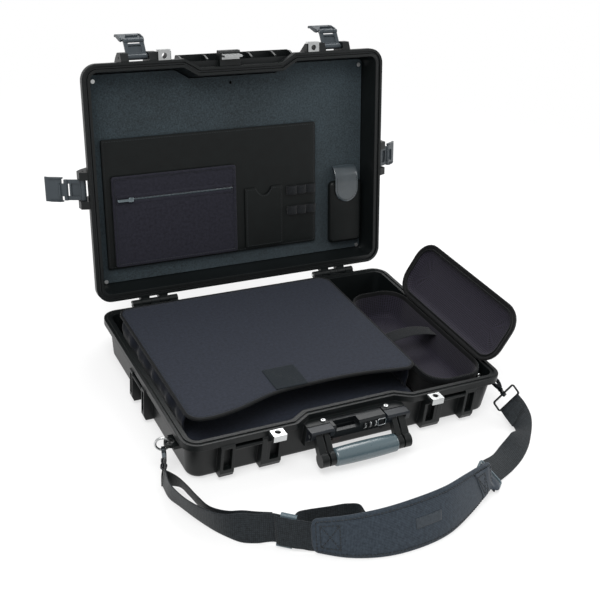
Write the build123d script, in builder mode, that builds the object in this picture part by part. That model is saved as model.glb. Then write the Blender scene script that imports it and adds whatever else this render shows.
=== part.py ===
"""Laptop hard case: moulded clamshell with four throw latches, a folding handle, a
combination lock, a lid organizer, a padded sleeve, an accessory pouch and a shoulder strap.

Frame: origin at the centre of the base's bottom face, +X to the right, +Y to the hinge,
+Z up.  The case stands open.  Millimetres.
"""
from build123d import *
import math
import os

os.makedirs("parts", exist_ok=True)

# ---------------------------------------------------------------- driving dimensions
RIM_W = 503.0            # outside width of both rims
RIM_D = 361.0            # outside depth of both rims
RIM_Z = 66.5             # height of the parting plane
LID_H = 50.0             # outside depth of the lid shell without its ribs
CORNER_R = 24.0          # plan radius of the rim corners
RIM_BAND = 12.0          # width of the rim, outside face to cavity
FLANGE_H = 9.5           # height of the thick rim band
FLOOR = 6.5              # inside floor of the base
FOOT_H = 2.0             # height of the moulded feet
BODY_INSET = 8.0         # shell wall stands this far inside the rim band
FOOT_INSET = 13.0        # and this far at the bottom
NOTCH_DEPTH = 14.0       # the rims turn in round the lock
NOTCH_TOP = 92.0         # half width of that notch at the rim's face
NOTCH_FLOOR = 68.0       # half width at its inner end
OPEN_ANGLE = 101.7       # the lid's angle from closed

HINGE_Y = RIM_D / 2 + 8.5
HINGE_R = 5.5
PIN_R = 1.8
RUN_FIT = 0.06           # radial clearance of a running pin
GAP = 0.3                # clearance between neighbours
SEAT = 0.1               # a part's seat on the piece that carries it
LEDGE_Z = RIM_Z - FLANGE_H
WALL_LEAN = math.atan((FOOT_INSET - BODY_INSET) / (LEDGE_Z - FOOT_H))

LATCH_X = 163.0          # centres of the two front latches
SIDE_LATCH_Y = 3.0       # the side latches' place along the sides
PLATE_X = 124.5          # centres of the padlock plates
BAY_HALF = 19.5          # half width of the bay that a closed latch lies in

SLEEVE_BOX = (-233.0, 128.0, -148.0, 156.0)
SLEEVE_Z = (29.0, 82.0)
POUCH_BOX = (136.5, 235.0, -161.0, 102.0)
POUCH_RIM_Z = 68.8
POUCH_DEPTH = 50.0
POUCH_LID_H = 13.0
POUCH_OPEN = 118.0

LUG_X = 255.0            # holes of the strap lugs
LUG_Y = -136.0
LUG_Z = 46.5
WEBBING_W = 38.0
WEBBING_T = 1.8

# ---------------------------------------------------------------- reference planes
open_rad = math.radians(OPEN_ANGLE)
# BASE and LID share local coordinates: those of the closed case, counted from the rim plane.
BASE = Plane.XY.offset(RIM_Z)
LID = Plane(
    origin=(0, HINGE_Y * (1 - math.cos(open_rad)), RIM_Z + HINGE_Y * math.sin(open_rad)),
    x_dir=(1, 0, 0),
    z_dir=(0, math.sin(open_rad), math.cos(open_rad)),
)


def local_plane(frame, origin, x_dir=(1, 0, 0), z_dir=(0, 0, 1)):
    """A plane given by origin and directions in another plane's coordinates."""
    turn = lambda d: (frame.x_dir * d[0] + frame.y_dir * d[1] + frame.z_dir * d[2])
    return Plane(origin=frame.from_local_coords(origin), x_dir=turn(x_dir), z_dir=turn(z_dir))


def across(frame, x):
    """The plane whose sketch axes are the frame's y and z, extruded along its x."""
    return local_plane(frame, (x, 0, 0), x_dir=(0, 1, 0), z_dir=(1, 0, 0))


def front_wall(z):
    """The y of the base wall's outer face at a height above the floor."""
    return -RIM_D / 2 + FOOT_INSET - (z - FOOT_H) * math.tan(WALL_LEAN)


def save(part, name):
    part.label = name
    export_step(part, f"parts/{name}.step")


def rim_outline(inset):
    """Plan outline of the rims: a rounded rectangle whose front edge turns in at the lock."""
    half_w = RIM_W / 2 - inset
    half_d = RIM_D / 2 - inset
    lean = 0.27 * inset
    notch_y = -half_d + NOTCH_DEPTH
    with BuildSketch(Plane.XY) as outline:
        with BuildLine():
            Polyline(
                (-half_w, -half_d), (-NOTCH_TOP - lean, -half_d), (-NOTCH_FLOOR - lean, notch_y),
                (NOTCH_FLOOR + lean, notch_y), (NOTCH_TOP + lean, -half_d), (half_w, -half_d),
                (half_w, half_d), (-half_w, half_d), close=True,
            )
        make_face()
        bends = outline.vertices().filter_by(lambda v: abs(v.X) < half_w - 1)
        fillet(bends, 7)
        corners = outline.vertices().filter_by(lambda v: abs(v.X) > half_w - 1)
        fillet(corners, max(CORNER_R - inset, 6))
    return outline.sketch


def plain_outline(inset):
    """The rims' outline without the notch."""
    with BuildSketch(Plane.XY) as outline:
        RectangleRounded(RIM_W - 2 * inset, RIM_D - 2 * inset, max(CORNER_R - inset * 0.4, 8))
    return outline.sketch


# Frames of the four latch stations: x along the rim, -y out of the case, z to the crown.
STATIONS = {
    "front_left": ((-LATCH_X, -RIM_D / 2, 0), (1, 0, 0)),
    "front_right": ((LATCH_X, -RIM_D / 2, 0), (1, 0, 0)),
    "side_left": ((-RIM_W / 2, SIDE_LATCH_Y, 0), (0, -1, 0)),
    "side_right": ((RIM_W / 2, SIDE_LATCH_Y, 0), (0, 1, 0)),
}


def station(frame, name):
    origin, along = STATIONS[name]
    return local_plane(frame, origin, x_dir=along)


# ---------------------------------------------------------------- base shell
# widths of the ribs beside each latch bay, at the station's low x and at its high x
RIBS = {"front_left": (20.0, 8.0), "front_right": (8.0, 20.0), "side_left": (11.0, 11.0), "side_right": (11.0, 11.0)}
RIB_OUT = 2.2            # the ribs stand this far out of the rim's face
RIB_WALL = 0.2           # share of a rib left as a wall at each side of its channel
CHANNEL = 9.0            # depth of those channels
BOSS_W = 22.0            # width of the bosses under the padlock plates
BOSS_OUT = 12.5
PLATE_SEAT = 2.4         # the plates' bosses stop this far short of the parting plane
SHACKLE_R = 4.3          # the padlock plates' holes
KEEPER_Z = -17.0         # middle of the bar that a latch hooks under
KEEPER_R = 2.4
HANDLE_X = 60.0          # the handle's two arms
BRACKET_W = 35.0
BRACKET_FACE = -RIM_D / 2 - 1.0          # face of the pads that carry the handle
SCREW_X = 50.0

with BuildPart() as base_shell:
    with BuildSketch(Plane.XY.offset(FOOT_H)):
        add(plain_outline(FOOT_INSET))
    with BuildSketch(Plane.XY.offset(RIM_Z - FLANGE_H)):
        add(plain_outline(BODY_INSET))
    loft(ruled=True)
    fillet(base_shell.faces().sort_by(Axis.Z)[0].edges(), 7)
    with BuildSketch(Plane.XY.offset(RIM_Z - FLANGE_H)):
        add(rim_outline(0))
    extrude(amount=FLANGE_H - 0.15)
    # tongue that enters the lid's groove
    with BuildSketch(Plane.XY.offset(RIM_Z - 0.15)):
        add(rim_outline(4.6))
    extrude(amount=1.8)
    with BuildSketch(Plane.XY.offset(RIM_Z - 0.15)):
        add(rim_outline(7.0))
    extrude(amount=3, mode=Mode.SUBTRACT)
    # cavity
    with BuildSketch(Plane.XY.offset(FLOOR)):
        add(rim_outline(17.5))
    with BuildSketch(Plane.XY.offset(RIM_Z + 2)):
        add(rim_outline(RIM_BAND))
    loft(ruled=True, mode=Mode.SUBTRACT)
    # latch bays: two ribs, the hook bar between them and a channel in each broad rib's face
    low = 6 - RIM_Z
    for name in STATIONS:
        st = station(BASE, name)
        for side, width in zip((-1, 1), RIBS[name]):
            x0 = side * (BAY_HALF + width / 2)
            with BuildSketch(across(st, x0)):
                with BuildLine():
                    Polyline((14, low), (1.5, low), (0.7 - RIB_OUT, low + 7), (-RIB_OUT, -FLANGE_H - 1),
                             (0.5, -FLANGE_H + 1), (14, -FLANGE_H + 1), close=True)
                make_face()
            extrude(amount=width / 2, both=True)
            if width > 10:
                with BuildSketch(local_plane(st, (x0, CHANNEL - RIB_OUT, -31), (1, 0, 0), (0, -1, 0))):
                    RectangleRounded(width * (1 - 2 * RIB_WALL), 34, 1.5)
                extrude(amount=CHANNEL + 1, mode=Mode.SUBTRACT)
        with BuildSketch(across(st, 0)):
            with Locations((0.6, KEEPER_Z)):
                Circle(KEEPER_R)
            with Locations((5.0, KEEPER_Z - 0.4)):
                Rectangle(8.8, 4.0)
        extrude(amount=BAY_HALF + 1, both=True)
    # channelled bosses under the padlock plates, each with a shelf that the shackle passes through
    face = -RIM_D / 2
    for x in (-PLATE_X, PLATE_X):
        with BuildSketch(across(BASE, x)):
            with BuildLine():
                Polyline((face + 14, low), (face + 1.5, low), (face + 0.7 - RIB_OUT, low + 7),
                         (face + 0.7 - RIB_OUT, -17), (face - BOSS_OUT, -8), (face - BOSS_OUT, -PLATE_SEAT),
                         (face + 4, -PLATE_SEAT), (face + 14, -PLATE_SEAT - 1), close=True)
            make_face()
        extrude(amount=BOSS_W / 2, both=True)
        with BuildSketch(local_plane(BASE, (x, face + CHANNEL - RIB_OUT, -33), (1, 0, 0), (0, -1, 0))):
            RectangleRounded(BOSS_W - 9, 30, 1.5)
        extrude(amount=CHANNEL + BOSS_OUT, mode=Mode.SUBTRACT)
        with BuildSketch(Plane.XY.offset(RIM_Z - 1)):
            with Locations((x, face - 6.5)):
                Circle(SHACKLE_R + 0.7)
        extrude(amount=-22, mode=Mode.SUBTRACT)
    # pads that the handle brackets bolt to
    for side in (-1, 1):
        with BuildSketch(Plane.XY.offset(24)):
            with Locations((side * HANDLE_X, BRACKET_FACE + 8)):
                RectangleRounded(BRACKET_W, 16, 2)
        extrude(amount=LEDGE_Z - 24)
    # hinge knuckles, the base's share
    for x0 in (-160, 160):
        for step in (-2, 0, 2):
            with BuildSketch(across(BASE, x0 + step * 15)):
                with Locations((HINGE_Y, 0)):
                    Circle(HINGE_R)
                with BuildLine():
                    Polyline((HINGE_Y, -HINGE_R), (HINGE_Y + 0.01, -0.5), (HINGE_Y - 8.6, -0.5),
                             (HINGE_Y - 8.6, -FLANGE_H), (HINGE_Y - 18, -FLANGE_H - 14),
                             (HINGE_Y - 10, -FLANGE_H - 12), close=True)
                make_face()
                with Locations((HINGE_Y, 0)):
                    Circle(PIN_R + RUN_FIT, mode=Mode.SUBTRACT)
            extrude(amount=7.2, both=True)
    # flat lugs for the strap's rings, each with an upright hole
    for side in (-1, 1):
        with BuildSketch(Plane.XY.offset(LUG_Z)):
            with Locations((side * (LUG_X - 7), LUG_Y)):
                Rectangle(14, 26)
            with Locations((side * LUG_X, LUG_Y)):
                Circle(9)
                Circle(5.0, mode=Mode.SUBTRACT)
        extrude(amount=2.5, both=True)
    # low feet at the corners and a pad in the middle
    with BuildSketch(Plane.XY):
        with GridLocations(380, 250, 2, 2):
            RectangleRounded(46, 22, 5)
        RectangleRounded(90, 40, 8)
    extrude(amount=FOOT_H + 0.5)
save(base_shell.part, "base_shell")

# ---------------------------------------------------------------- lid shell
EAR_IN = 16.0            # half gap between a latch's ears
EAR_T = 12.0
PIVOT_OUT = 5.5          # a latch's upper pivot stands this far out of the rim
PIVOT_UP = 13.0          # and this far above it
LID_WALL = 4.0

with BuildPart() as lid_shell:
    with BuildSketch(LID.offset(FLANGE_H)):
        add(plain_outline(BODY_INSET - 3))
    with BuildSketch(LID.offset(LID_H)):
        add(plain_outline(FOOT_INSET))
    loft(ruled=True)
    crown = lid_shell.faces().sort_by(Axis(LID.origin, LID.z_dir))[-1]
    fillet(crown.edges(), 8)
    with BuildSketch(LID.offset(0.15)):
        add(rim_outline(0))
    extrude(amount=FLANGE_H)
    # ears that carry the latches
    for name in STATIONS:
        st = station(LID, name)
        for side in (-1, 1):
            with BuildSketch(across(st, side * (EAR_IN + EAR_T / 2))):
                with BuildLine():
                    Polyline((9, 1.2), (-1.6, 1.2), (-PIVOT_OUT - 7, PIVOT_UP - 7),
                             (-PIVOT_OUT - 7, PIVOT_UP + 7), (-4, PIVOT_UP + 17), (9, PIVOT_UP + 27),
                             close=True)
                make_face()
                with Locations((-PIVOT_OUT, PIVOT_UP)):
                    Circle(1.6 + RUN_FIT, mode=Mode.SUBTRACT)
            extrude(amount=EAR_T / 2, both=True)
    # bosses over the padlock plates
    for x in (-PLATE_X, PLATE_X):
        with BuildSketch(across(LID, x)):
            with BuildLine():
                Polyline((face + 12, PLATE_SEAT + 1), (face + 4, PLATE_SEAT), (face - BOSS_OUT, PLATE_SEAT),
                         (face - BOSS_OUT, 10), (face + 2, 28), (face + 12, 34), close=True)
            make_face()
        extrude(amount=BOSS_W / 2, both=True)
        with BuildSketch(LID.offset(1)):
            with Locations((x, face - 6.5)):
                Circle(SHACKLE_R + 0.7)
        extrude(amount=32, mode=Mode.SUBTRACT)
    # stiffening ribs over the notch
    for x in (-93, -52, 22, 62, 93):
        with BuildSketch(across(LID, x)):
            with BuildLine():
                Polyline((-RIM_D / 2 + 22, 9), (-RIM_D / 2 + 3, 11), (-RIM_D / 2 - 2, 24),
                         (-RIM_D / 2 - 2, 36), (-RIM_D / 2 + 14, 44), (-RIM_D / 2 + 22, 44), close=True)
            make_face()
        extrude(amount=1.6, both=True)
    with BuildSketch(across(LID, 0)):
        with BuildLine():
            Polyline((-RIM_D / 2 + 22, 34), (-RIM_D / 2 - 2.5, 34), (-RIM_D / 2 - 2.5, 37.5),
                     (-RIM_D / 2 + 8, 44), (-RIM_D / 2 + 22, 44), close=True)
        make_face()
    extrude(amount=94.6, both=True)
    # long ribs on the crown
    with BuildSketch(LID.offset(LID_H - 1)):
        with Locations((-178, 0), (-89, 0), (0, 0), (89, 0), (178, 0)):
            RectangleRounded(52, 292, 8)
    extrude(amount=4.5, taper=20)
    # hinge knuckles, the lid's share
    for x0 in (-160, 160):
        for step in (-1, 1):
            with BuildSketch(across(LID, x0 + step * 15)):
                with Locations((HINGE_Y, 0)):
                    Circle(HINGE_R)
                with BuildLine():
                    Polyline((HINGE_Y, HINGE_R), (HINGE_Y + 0.01, 0.5), (HINGE_Y - 8.6, 0.5),
                             (HINGE_Y - 8.6, FLANGE_H), (HINGE_Y - 18, FLANGE_H + 12),
                             (HINGE_Y - 9, FLANGE_H + 9), close=True)
                make_face()
                with Locations((HINGE_Y, 0)):
                    Circle(PIN_R + RUN_FIT, mode=Mode.SUBTRACT)
            extrude(amount=7.2, both=True)
    # groove for the seal and the base's tongue
    with BuildSketch(LID.offset(0.15)):
        add(rim_outline(4.0))
        add(rim_outline(8.0), mode=Mode.SUBTRACT)
    extrude(amount=5.0, mode=Mode.SUBTRACT)
    # cavity
    with BuildSketch(LID.offset(-1)):
        add(rim_outline(RIM_BAND))
    with BuildSketch(LID.offset(LID_H - LID_WALL)):
        add(rim_outline(20))
    loft(ruled=True, mode=Mode.SUBTRACT)
    # screw posts behind the liner panel
    with BuildSketch(LID.offset(37.4)):
        with Locations((-226, -152), (226, -152), (-226, 158), (226, 158)):
            Circle(5)
    extrude(amount=LID_H - 38.5)
    with BuildSketch(LID.offset(37.4)):
        with Locations((-226, -152), (226, -152), (-226, 158), (226, 158)):
            Circle(1.6)
    extrude(amount=8, mode=Mode.SUBTRACT)
save(lid_shell.part, "lid_shell")

with BuildPart() as lid_seal:
    with BuildSketch(LID.offset(2.6)):
        add(rim_outline(4.5))
        add(rim_outline(7.5), mode=Mode.SUBTRACT)
    extrude(amount=2.3)
save(lid_seal.part, "lid_seal")

with BuildPart() as hinge_pins:
    for x0 in (-160, 160):
        with BuildSketch(across(BASE, x0)):
            with Locations((HINGE_Y, 0)):
                Circle(PIN_R)
        extrude(amount=38.5, both=True)
save(hinge_pins.part, "hinge_pins")

# ---------------------------------------------------------------- padlock plates
PLATE_T = 1.8
PLATE_W = 19.0


def padlock_plates(frame, way):
    """A pair of bent steel plates; way is -1 under the parting plane and 1 above it."""
    with BuildPart() as plates:
        for x in (-PLATE_X, PLATE_X):
            with BuildSketch(across(frame, x)):
                with BuildLine():
                    Polyline((-RIM_D / 2 - SEAT, way * 0.5), (-RIM_D / 2 - 15.2, way * 0.5),
                             (-RIM_D / 2 - 15.2, way * 10), (-RIM_D / 2 - 15.2 + PLATE_T, way * 10),
                             (-RIM_D / 2 - 15.2 + PLATE_T, way * (0.5 + PLATE_T)),
                             (-RIM_D / 2 - SEAT, way * (0.5 + PLATE_T)), close=True)
                make_face()
            extrude(amount=PLATE_W / 2, both=True)
            with BuildSketch(frame.offset(-way)):
                with Locations((x, -RIM_D / 2 - 6.5)):
                    Circle(SHACKLE_R)
            extrude(amount=way * 6, mode=Mode.SUBTRACT)
    return plates.part


save(padlock_plates(BASE, -1), "padlock_plates_base")
save(padlock_plates(LID, 1), "padlock_plates_lid")

# ---------------------------------------------------------------- throw latches
LINK_L = 26.0            # pivot to pivot
LINK_OPEN = 119.0        # link's swing from latched to open
LEVER_OPEN = {"front_left": 46.0, "front_right": 46.0, "side_left": 6.0, "side_right": 6.0}
LINK_W = 31.0
LEVER_W = 37.0
LEVER_L = 33.0
LATCH_PIN_R = 1.6

with BuildPart() as latch_lid_pins:
    for name in STATIONS:
        with BuildSketch(across(station(LID, name), 0)):
            with Locations((-PIVOT_OUT, PIVOT_UP)):
                Circle(LATCH_PIN_R)
        extrude(amount=EAR_IN + EAR_T - 1, both=True)
save(latch_lid_pins.part, "latch_lid_pins")

for name in STATIONS:
    st = station(LID, name)
    # the link's own plane: origin on the upper pivot, -z towards the lower one
    link_z = (0, math.sin(math.radians(LINK_OPEN)), math.cos(math.radians(LINK_OPEN)))
    link_frame = local_plane(st, (0, -PIVOT_OUT, PIVOT_UP), (1, 0, 0), link_z)
    lever_rad = math.radians(LEVER_OPEN[name])
    lever_z = (0, math.sin(lever_rad), math.cos(lever_rad))
    lever_frame = local_plane(link_frame, (0, 0, -LINK_L), (1, 0, 0), lever_z)

    with BuildPart() as link:
        with BuildSketch(across(link_frame, 0)):
            Circle(4.2)
            with Locations((0, -LINK_L)):
                Circle(3.4)
            with Locations((-0.8, -LINK_L / 2)):
                Rectangle(3.4, LINK_L)
            with Locations((0, 0), (0, -LINK_L)):
                Circle(LATCH_PIN_R + RUN_FIT, mode=Mode.SUBTRACT)
        extrude(amount=LINK_W / 2, both=True)
        # hollow between the two side arms, and the space that the lever's barrel turns in
        with BuildSketch(local_plane(link_frame, (0, 6, -12.2), (1, 0, 0), (0, -1, 0))):
            RectangleRounded(20, 11.5, 1.5)
        extrude(amount=7.4, mode=Mode.SUBTRACT)
        with BuildSketch(local_plane(link_frame, (0, 6, -LINK_L), (1, 0, 0), (0, -1, 0))):
            Rectangle(19, 10.4)
        extrude(amount=14, mode=Mode.SUBTRACT)
    save(link.part, f"latch_{name}_link")

    with BuildPart() as lever:
        with BuildSketch(across(lever_frame, 0)):
            Circle(3.2)
            with BuildLine():
                Polyline((-3.0, 1.2), (3.0, 1.2), (3.0, -7.6), (5.6, -7.1), (5.6, -9.4), (3.0, -11.0),
                         (-1.0, -11.0), (-3.4, -8), close=True)
            make_face()
            Circle(LATCH_PIN_R + RUN_FIT, mode=Mode.SUBTRACT)
        extrude(amount=9.2, both=True)
        with BuildSketch(across(lever_frame, 0)):
            with BuildLine():
                l1 = Polyline((-0.8, -7.4), (-0.8, -LEVER_L + 3))
                l2 = ThreePointArc(l1 @ 1, (-1.6, -LEVER_L), (-4.6, -LEVER_L - 1.6))
                l3 = Polyline(l2 @ 1, (-5.6, -LEVER_L + 0.4), (-3.8, -LEVER_L + 3), (-3.6, -7.4))
                Line(l3 @ 1, l1 @ 0)
            make_face()
        extrude(amount=LEVER_W / 2, both=True)
        # side flanges and the two ribs that stiffen the thumb plate
        for side in (-1, 1):
            with BuildSketch(across(lever_frame, side * (LEVER_W / 2 - 1))):
                with BuildLine():
                    Polyline((-0.8, -5.4), (1.8, -9), (1.4, -24), (-0.8, -30), (-3.6, -30), (-4.4, -12),
                             (-3.6, -5.4), close=True)
                make_face()
            extrude(amount=1, both=True)
            with BuildSketch(across(lever_frame, side * 6)):
                with Locations((-4.4, -19)):
                    Rectangle(2.4, 18)
            extrude(amount=0.8, both=True)
    save(lever.part, f"latch_{name}_lever")

    with BuildPart() as pin:
        with BuildSketch(across(link_frame, 0)):
            with Locations((0, -LINK_L)):
                Circle(LATCH_PIN_R)
        extrude(amount=LINK_W / 2 - 0.3, both=True)
    save(pin.part, f"latch_{name}_pin")

# ---------------------------------------------------------------- handle
HANDLE_PIVOT = (-RIM_D / 2 - 9.5, -18.5)   # y, z from the rim plane
HANDLE_ARM = 34.5
HANDLE_ANGLE = 40.0      # from hanging straight down
GRIP_R = 12.6
GRIP_BULGE = 1.0
ARM_W = 21.0             # each arm is two cheeks with a slot between them
ARM_SLOT = (8.0, 10.5)   # the slot, counted from the arm's inner face
GRIP_HALF = HANDLE_X - ARM_W / 2 - 0.4
handle_rad = math.radians(HANDLE_ANGLE)
HANDLE = local_plane(
    BASE, (0, HANDLE_PIVOT[0], HANDLE_PIVOT[1]), (1, 0, 0), (0, math.sin(handle_rad), math.cos(handle_rad))
)

HOOD_TOP = -10.2
HOOD_T = 3.0
HOOD_OUT = -RIM_D / 2 - 16.5
with BuildPart() as handle_brackets:
    for x in (-HANDLE_X, HANDLE_X):
        with BuildSketch(across(BASE, x)):
            with BuildLine():
                Polyline((BRACKET_FACE - SEAT, HOOD_TOP), (HOOD_OUT + 2.5, HOOD_TOP), (HOOD_OUT, HOOD_TOP - 1.2),
                         (HOOD_OUT, HOOD_TOP - HOOD_T), (HOOD_OUT + 1.5, -22), (-RIM_D / 2 - 9, -25.5),
                         (BRACKET_FACE - SEAT, -34), close=True)
            make_face()
            with Locations(HANDLE_PIVOT):
                Circle(2.5 + RUN_FIT, mode=Mode.SUBTRACT)
        extrude(amount=BRACKET_W / 2, both=True)
        # the arm's slot, open below and in front under the hood's top
        with BuildSketch(across(BASE, x)):
            with Locations((HOOD_OUT - 4, HOOD_TOP - HOOD_T)):
                Rectangle(BRACKET_FACE - SEAT - 2.5 - HOOD_OUT + 4, 30, align=(Align.MIN, Align.MAX))
        extrude(amount=ARM_W / 2 + 0.5, both=True, mode=Mode.SUBTRACT)
save(handle_brackets.part, "handle_brackets")

with BuildPart() as handle_pins:
    for x in (-HANDLE_X, HANDLE_X):
        with BuildSketch(across(BASE, x)):
            with Locations(HANDLE_PIVOT):
                Circle(2.5)
        extrude(amount=BRACKET_W / 2 - 0.1, both=True)
save(handle_pins.part, "handle_pins")

with BuildPart() as handle_frame:
    for side in (-1, 1):
        with BuildSketch(across(HANDLE, side * HANDLE_X)):
            with BuildLine():
                Polyline((-4.4, 0), (4.2, 0), (5.5, -18), (5.8, -HANDLE_ARM), (-5.8, -HANDLE_ARM),
                         (-5.5, -18), close=True)
            make_face()
            Circle(4.6)
            with Locations((0, -HANDLE_ARM)):
                Circle(GRIP_R - 2.2)
            Circle(2.5 + RUN_FIT, mode=Mode.SUBTRACT)
        extrude(amount=ARM_W / 2, both=True)
        slot = side * (HANDLE_X - ARM_W / 2 + sum(ARM_SLOT) / 2)
        with BuildSketch(across(HANDLE, slot)):
            with Locations((0, 8)):
                Rectangle(40, HANDLE_ARM + 8 + 14, align=(Align.CENTER, Align.MAX))
            with Locations((0, -HANDLE_ARM)):
                Circle(6, mode=Mode.SUBTRACT)
        extrude(amount=(ARM_SLOT[1] - ARM_SLOT[0]) / 2, both=True, mode=Mode.SUBTRACT)
    with BuildSketch(across(HANDLE, 0)):
        with Locations((0, -HANDLE_ARM)):
            Circle(6)
    extrude(amount=HANDLE_X + ARM_W / 2 - 1, both=True)
save(handle_frame.part, "handle_frame")

with BuildPart() as handle_grip:
    grip_axis = local_plane(HANDLE, (0, 0, -HANDLE_ARM), (1, 0, 0), (0, 1, 0))
    with BuildSketch(grip_axis):
        with BuildLine():
            l1 = Line((-GRIP_HALF, 6.1), (-GRIP_HALF, GRIP_R - 2.4))
            l2 = ThreePointArc(l1 @ 1, (-GRIP_HALF + 1.2, GRIP_R - 0.7), (-GRIP_HALF + 4.5, GRIP_R))
            l3 = ThreePointArc(l2 @ 1, (0, GRIP_R + GRIP_BULGE), (GRIP_HALF - 4.5, GRIP_R))
            l4 = ThreePointArc(l3 @ 1, (GRIP_HALF - 1.2, GRIP_R - 0.7), (GRIP_HALF, GRIP_R - 2.4))
            Line(l4 @ 1, (GRIP_HALF, 6.1))
            Line((GRIP_HALF, 6.1), l1 @ 0)
        make_face()
    revolve(axis=Axis(grip_axis.origin, grip_axis.x_dir))
save(handle_grip.part, "handle_grip")

with BuildPart() as ledge_screws:
    for x in (-SCREW_X, SCREW_X):
        with BuildSketch(BASE.offset(-FLANGE_H + SEAT)):
            with Locations((x, BRACKET_FACE + 6.5)):
                Circle(3.2)
                RegularPolygon(1.4, 6, mode=Mode.SUBTRACT)
        extrude(amount=2.0)
save(ledge_screws.part, "ledge_screws")

# ---------------------------------------------------------------- combination lock
LOCK_FRONT = -RIM_D / 2 - 11.5
LOCK_TOP = -10.5
LOCK_BOTTOM = -32.5
LOCK_X = -0.5            # middle of the housing
LOCK_HALF = 41.5
DIALS_X = (8.5, 16.8, 25.1)
DIAL_R = 8.0
DIAL_Y = LOCK_FRONT + 6.2
DIAL_Z = -20.0
SLIDE_X = 34.2
SLIDE_W = 6.8
SLIDE_TRAVEL = 2.5
HASP_X = -19.0
HASP_W = 34.0
HASP_SILL = -18.5        # the lock's front is cut down to here where the hasp enters

with BuildPart() as lock_housing:
    with BuildSketch(across(BASE, LOCK_X)):
        with BuildLine():
            Polyline((front_wall(RIM_Z + LOCK_TOP) - SEAT, LOCK_TOP), (LOCK_FRONT + 3, LOCK_TOP),
                     (LOCK_FRONT, LOCK_TOP - 3), (LOCK_FRONT, -29), (LOCK_FRONT + 4, LOCK_BOTTOM),
                     (front_wall(RIM_Z + LOCK_BOTTOM) - SEAT, LOCK_BOTTOM), close=True)
        make_face()
    extrude(amount=LOCK_HALF, both=True)
    # wells for the dials, the slot of the slide and the mouth that takes the hasp
    for x in DIALS_X:
        with BuildSketch(across(BASE, x)):
            with Locations((DIAL_Y, DIAL_Z)):
                Circle(DIAL_R + 0.5)
        extrude(amount=3.3, both=True, mode=Mode.SUBTRACT)
    slot_x = SLIDE_X + SLIDE_TRAVEL / 2
    with BuildSketch(local_plane(BASE, (slot_x, LOCK_FRONT - 1, DIAL_Z), (1, 0, 0), (0, 1, 0))):
        Rectangle(SLIDE_W + SLIDE_TRAVEL + 2 * GAP, 7.4)
    extrude(amount=6.6, mode=Mode.SUBTRACT)
    with BuildSketch(BASE.offset(HASP_SILL)):
        with Locations((HASP_X, LOCK_FRONT + 6)):
            Rectangle(HASP_W + 2, 16)
    extrude(amount=12, mode=Mode.SUBTRACT)
    with BuildSketch(BASE.offset(-25)):
        with Locations((HASP_X, LOCK_FRONT + 10)):
            Rectangle(HASP_W, 6.4)
    extrude(amount=12, mode=Mode.SUBTRACT)
save(lock_housing.part, "lock_housing")

for number, x in enumerate(DIALS_X, start=1):
    with BuildPart() as dial:
        with BuildSketch(across(BASE, x)):
            with Locations((DIAL_Y, DIAL_Z)):
                Circle(DIAL_R)
                Circle(1.5 + RUN_FIT, mode=Mode.SUBTRACT)
        extrude(amount=2.9, both=True)
        with BuildSketch(across(BASE, x)):
            with Locations((DIAL_Y, DIAL_Z)):
                with PolarLocations(DIAL_R, 10):
                    Circle(0.6)
        extrude(amount=2.9, both=True, mode=Mode.SUBTRACT)
    save(dial.part, f"lock_dial_{number}")

with BuildPart() as lock_slide:
    with BuildSketch(local_plane(BASE, (SLIDE_X, LOCK_FRONT + 5.2, DIAL_Z), (1, 0, 0), (0, -1, 0))):
        RectangleRounded(SLIDE_W, 6.6, 1)
    extrude(amount=6.6)
    with BuildSketch(local_plane(BASE, (SLIDE_X, LOCK_FRONT - 2.2, DIAL_Z), (1, 0, 0), (0, 1, 0))):
        with Locations((-2, 0), (0, 0), (2, 0)):
            Rectangle(0.8, 6)
    extrude(amount=1, mode=Mode.SUBTRACT)
save(lock_slide.part, "lock_slide")

with BuildPart() as lock_hasp:
    with BuildSketch(across(LID, HASP_X)):
        with BuildLine():
            Polyline((-RIM_D / 2 + 13.9, 1.2), (-RIM_D / 2 - 6, 1.2), (-RIM_D / 2 - 9, 4),
                     (-RIM_D / 2 - 9, 13), (-RIM_D / 2 + 6.3, 17), (-RIM_D / 2 + 4.9, 9.4),
                     (-RIM_D / 2 + 13.9, 9.4), close=True)
        make_face()
    extrude(amount=HASP_W / 2, both=True)
save(lock_hasp.part, "lock_hasp")

# the steel striker under the hasp, with the bolt's slot
with BuildPart() as lock_striker:
    with BuildSketch(across(LID, HASP_X)):
        with Locations((LOCK_FRONT + 10, -5.6)):
            Rectangle(3.2, 13.2)
        with Locations((LOCK_FRONT + 11.4, 0.2)):
            Rectangle(8, 1.8)
    extrude(amount=HASP_W / 2 - 2.5, both=True)
    with BuildSketch(local_plane(LID, (HASP_X, LOCK_FRONT + 14, -8.2), (1, 0, 0), (0, -1, 0))):
        RectangleRounded(12, 3.6, 0.8)
    extrude(amount=8, mode=Mode.SUBTRACT)
save(lock_striker.part, "lock_striker")

VALVE_X = -26.0
VALVE_Z = 22.5
with BuildPart() as purge_valve:
    on_wall = Plane((VALVE_X, front_wall(VALVE_Z), VALVE_Z), x_dir=(1, 0, 0),
                    z_dir=(0, -math.cos(WALL_LEAN), -math.sin(WALL_LEAN)))
    with BuildSketch(on_wall.offset(SEAT)):
        Circle(9)
    extrude(amount=5)
    with BuildSketch(on_wall.offset(SEAT + 5)):
        Circle(6.5)
        with PolarLocations(6.5, 8):
            Circle(0.9, mode=Mode.SUBTRACT)
    extrude(amount=2.4)
save(purge_valve.part, "purge_valve")

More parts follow.
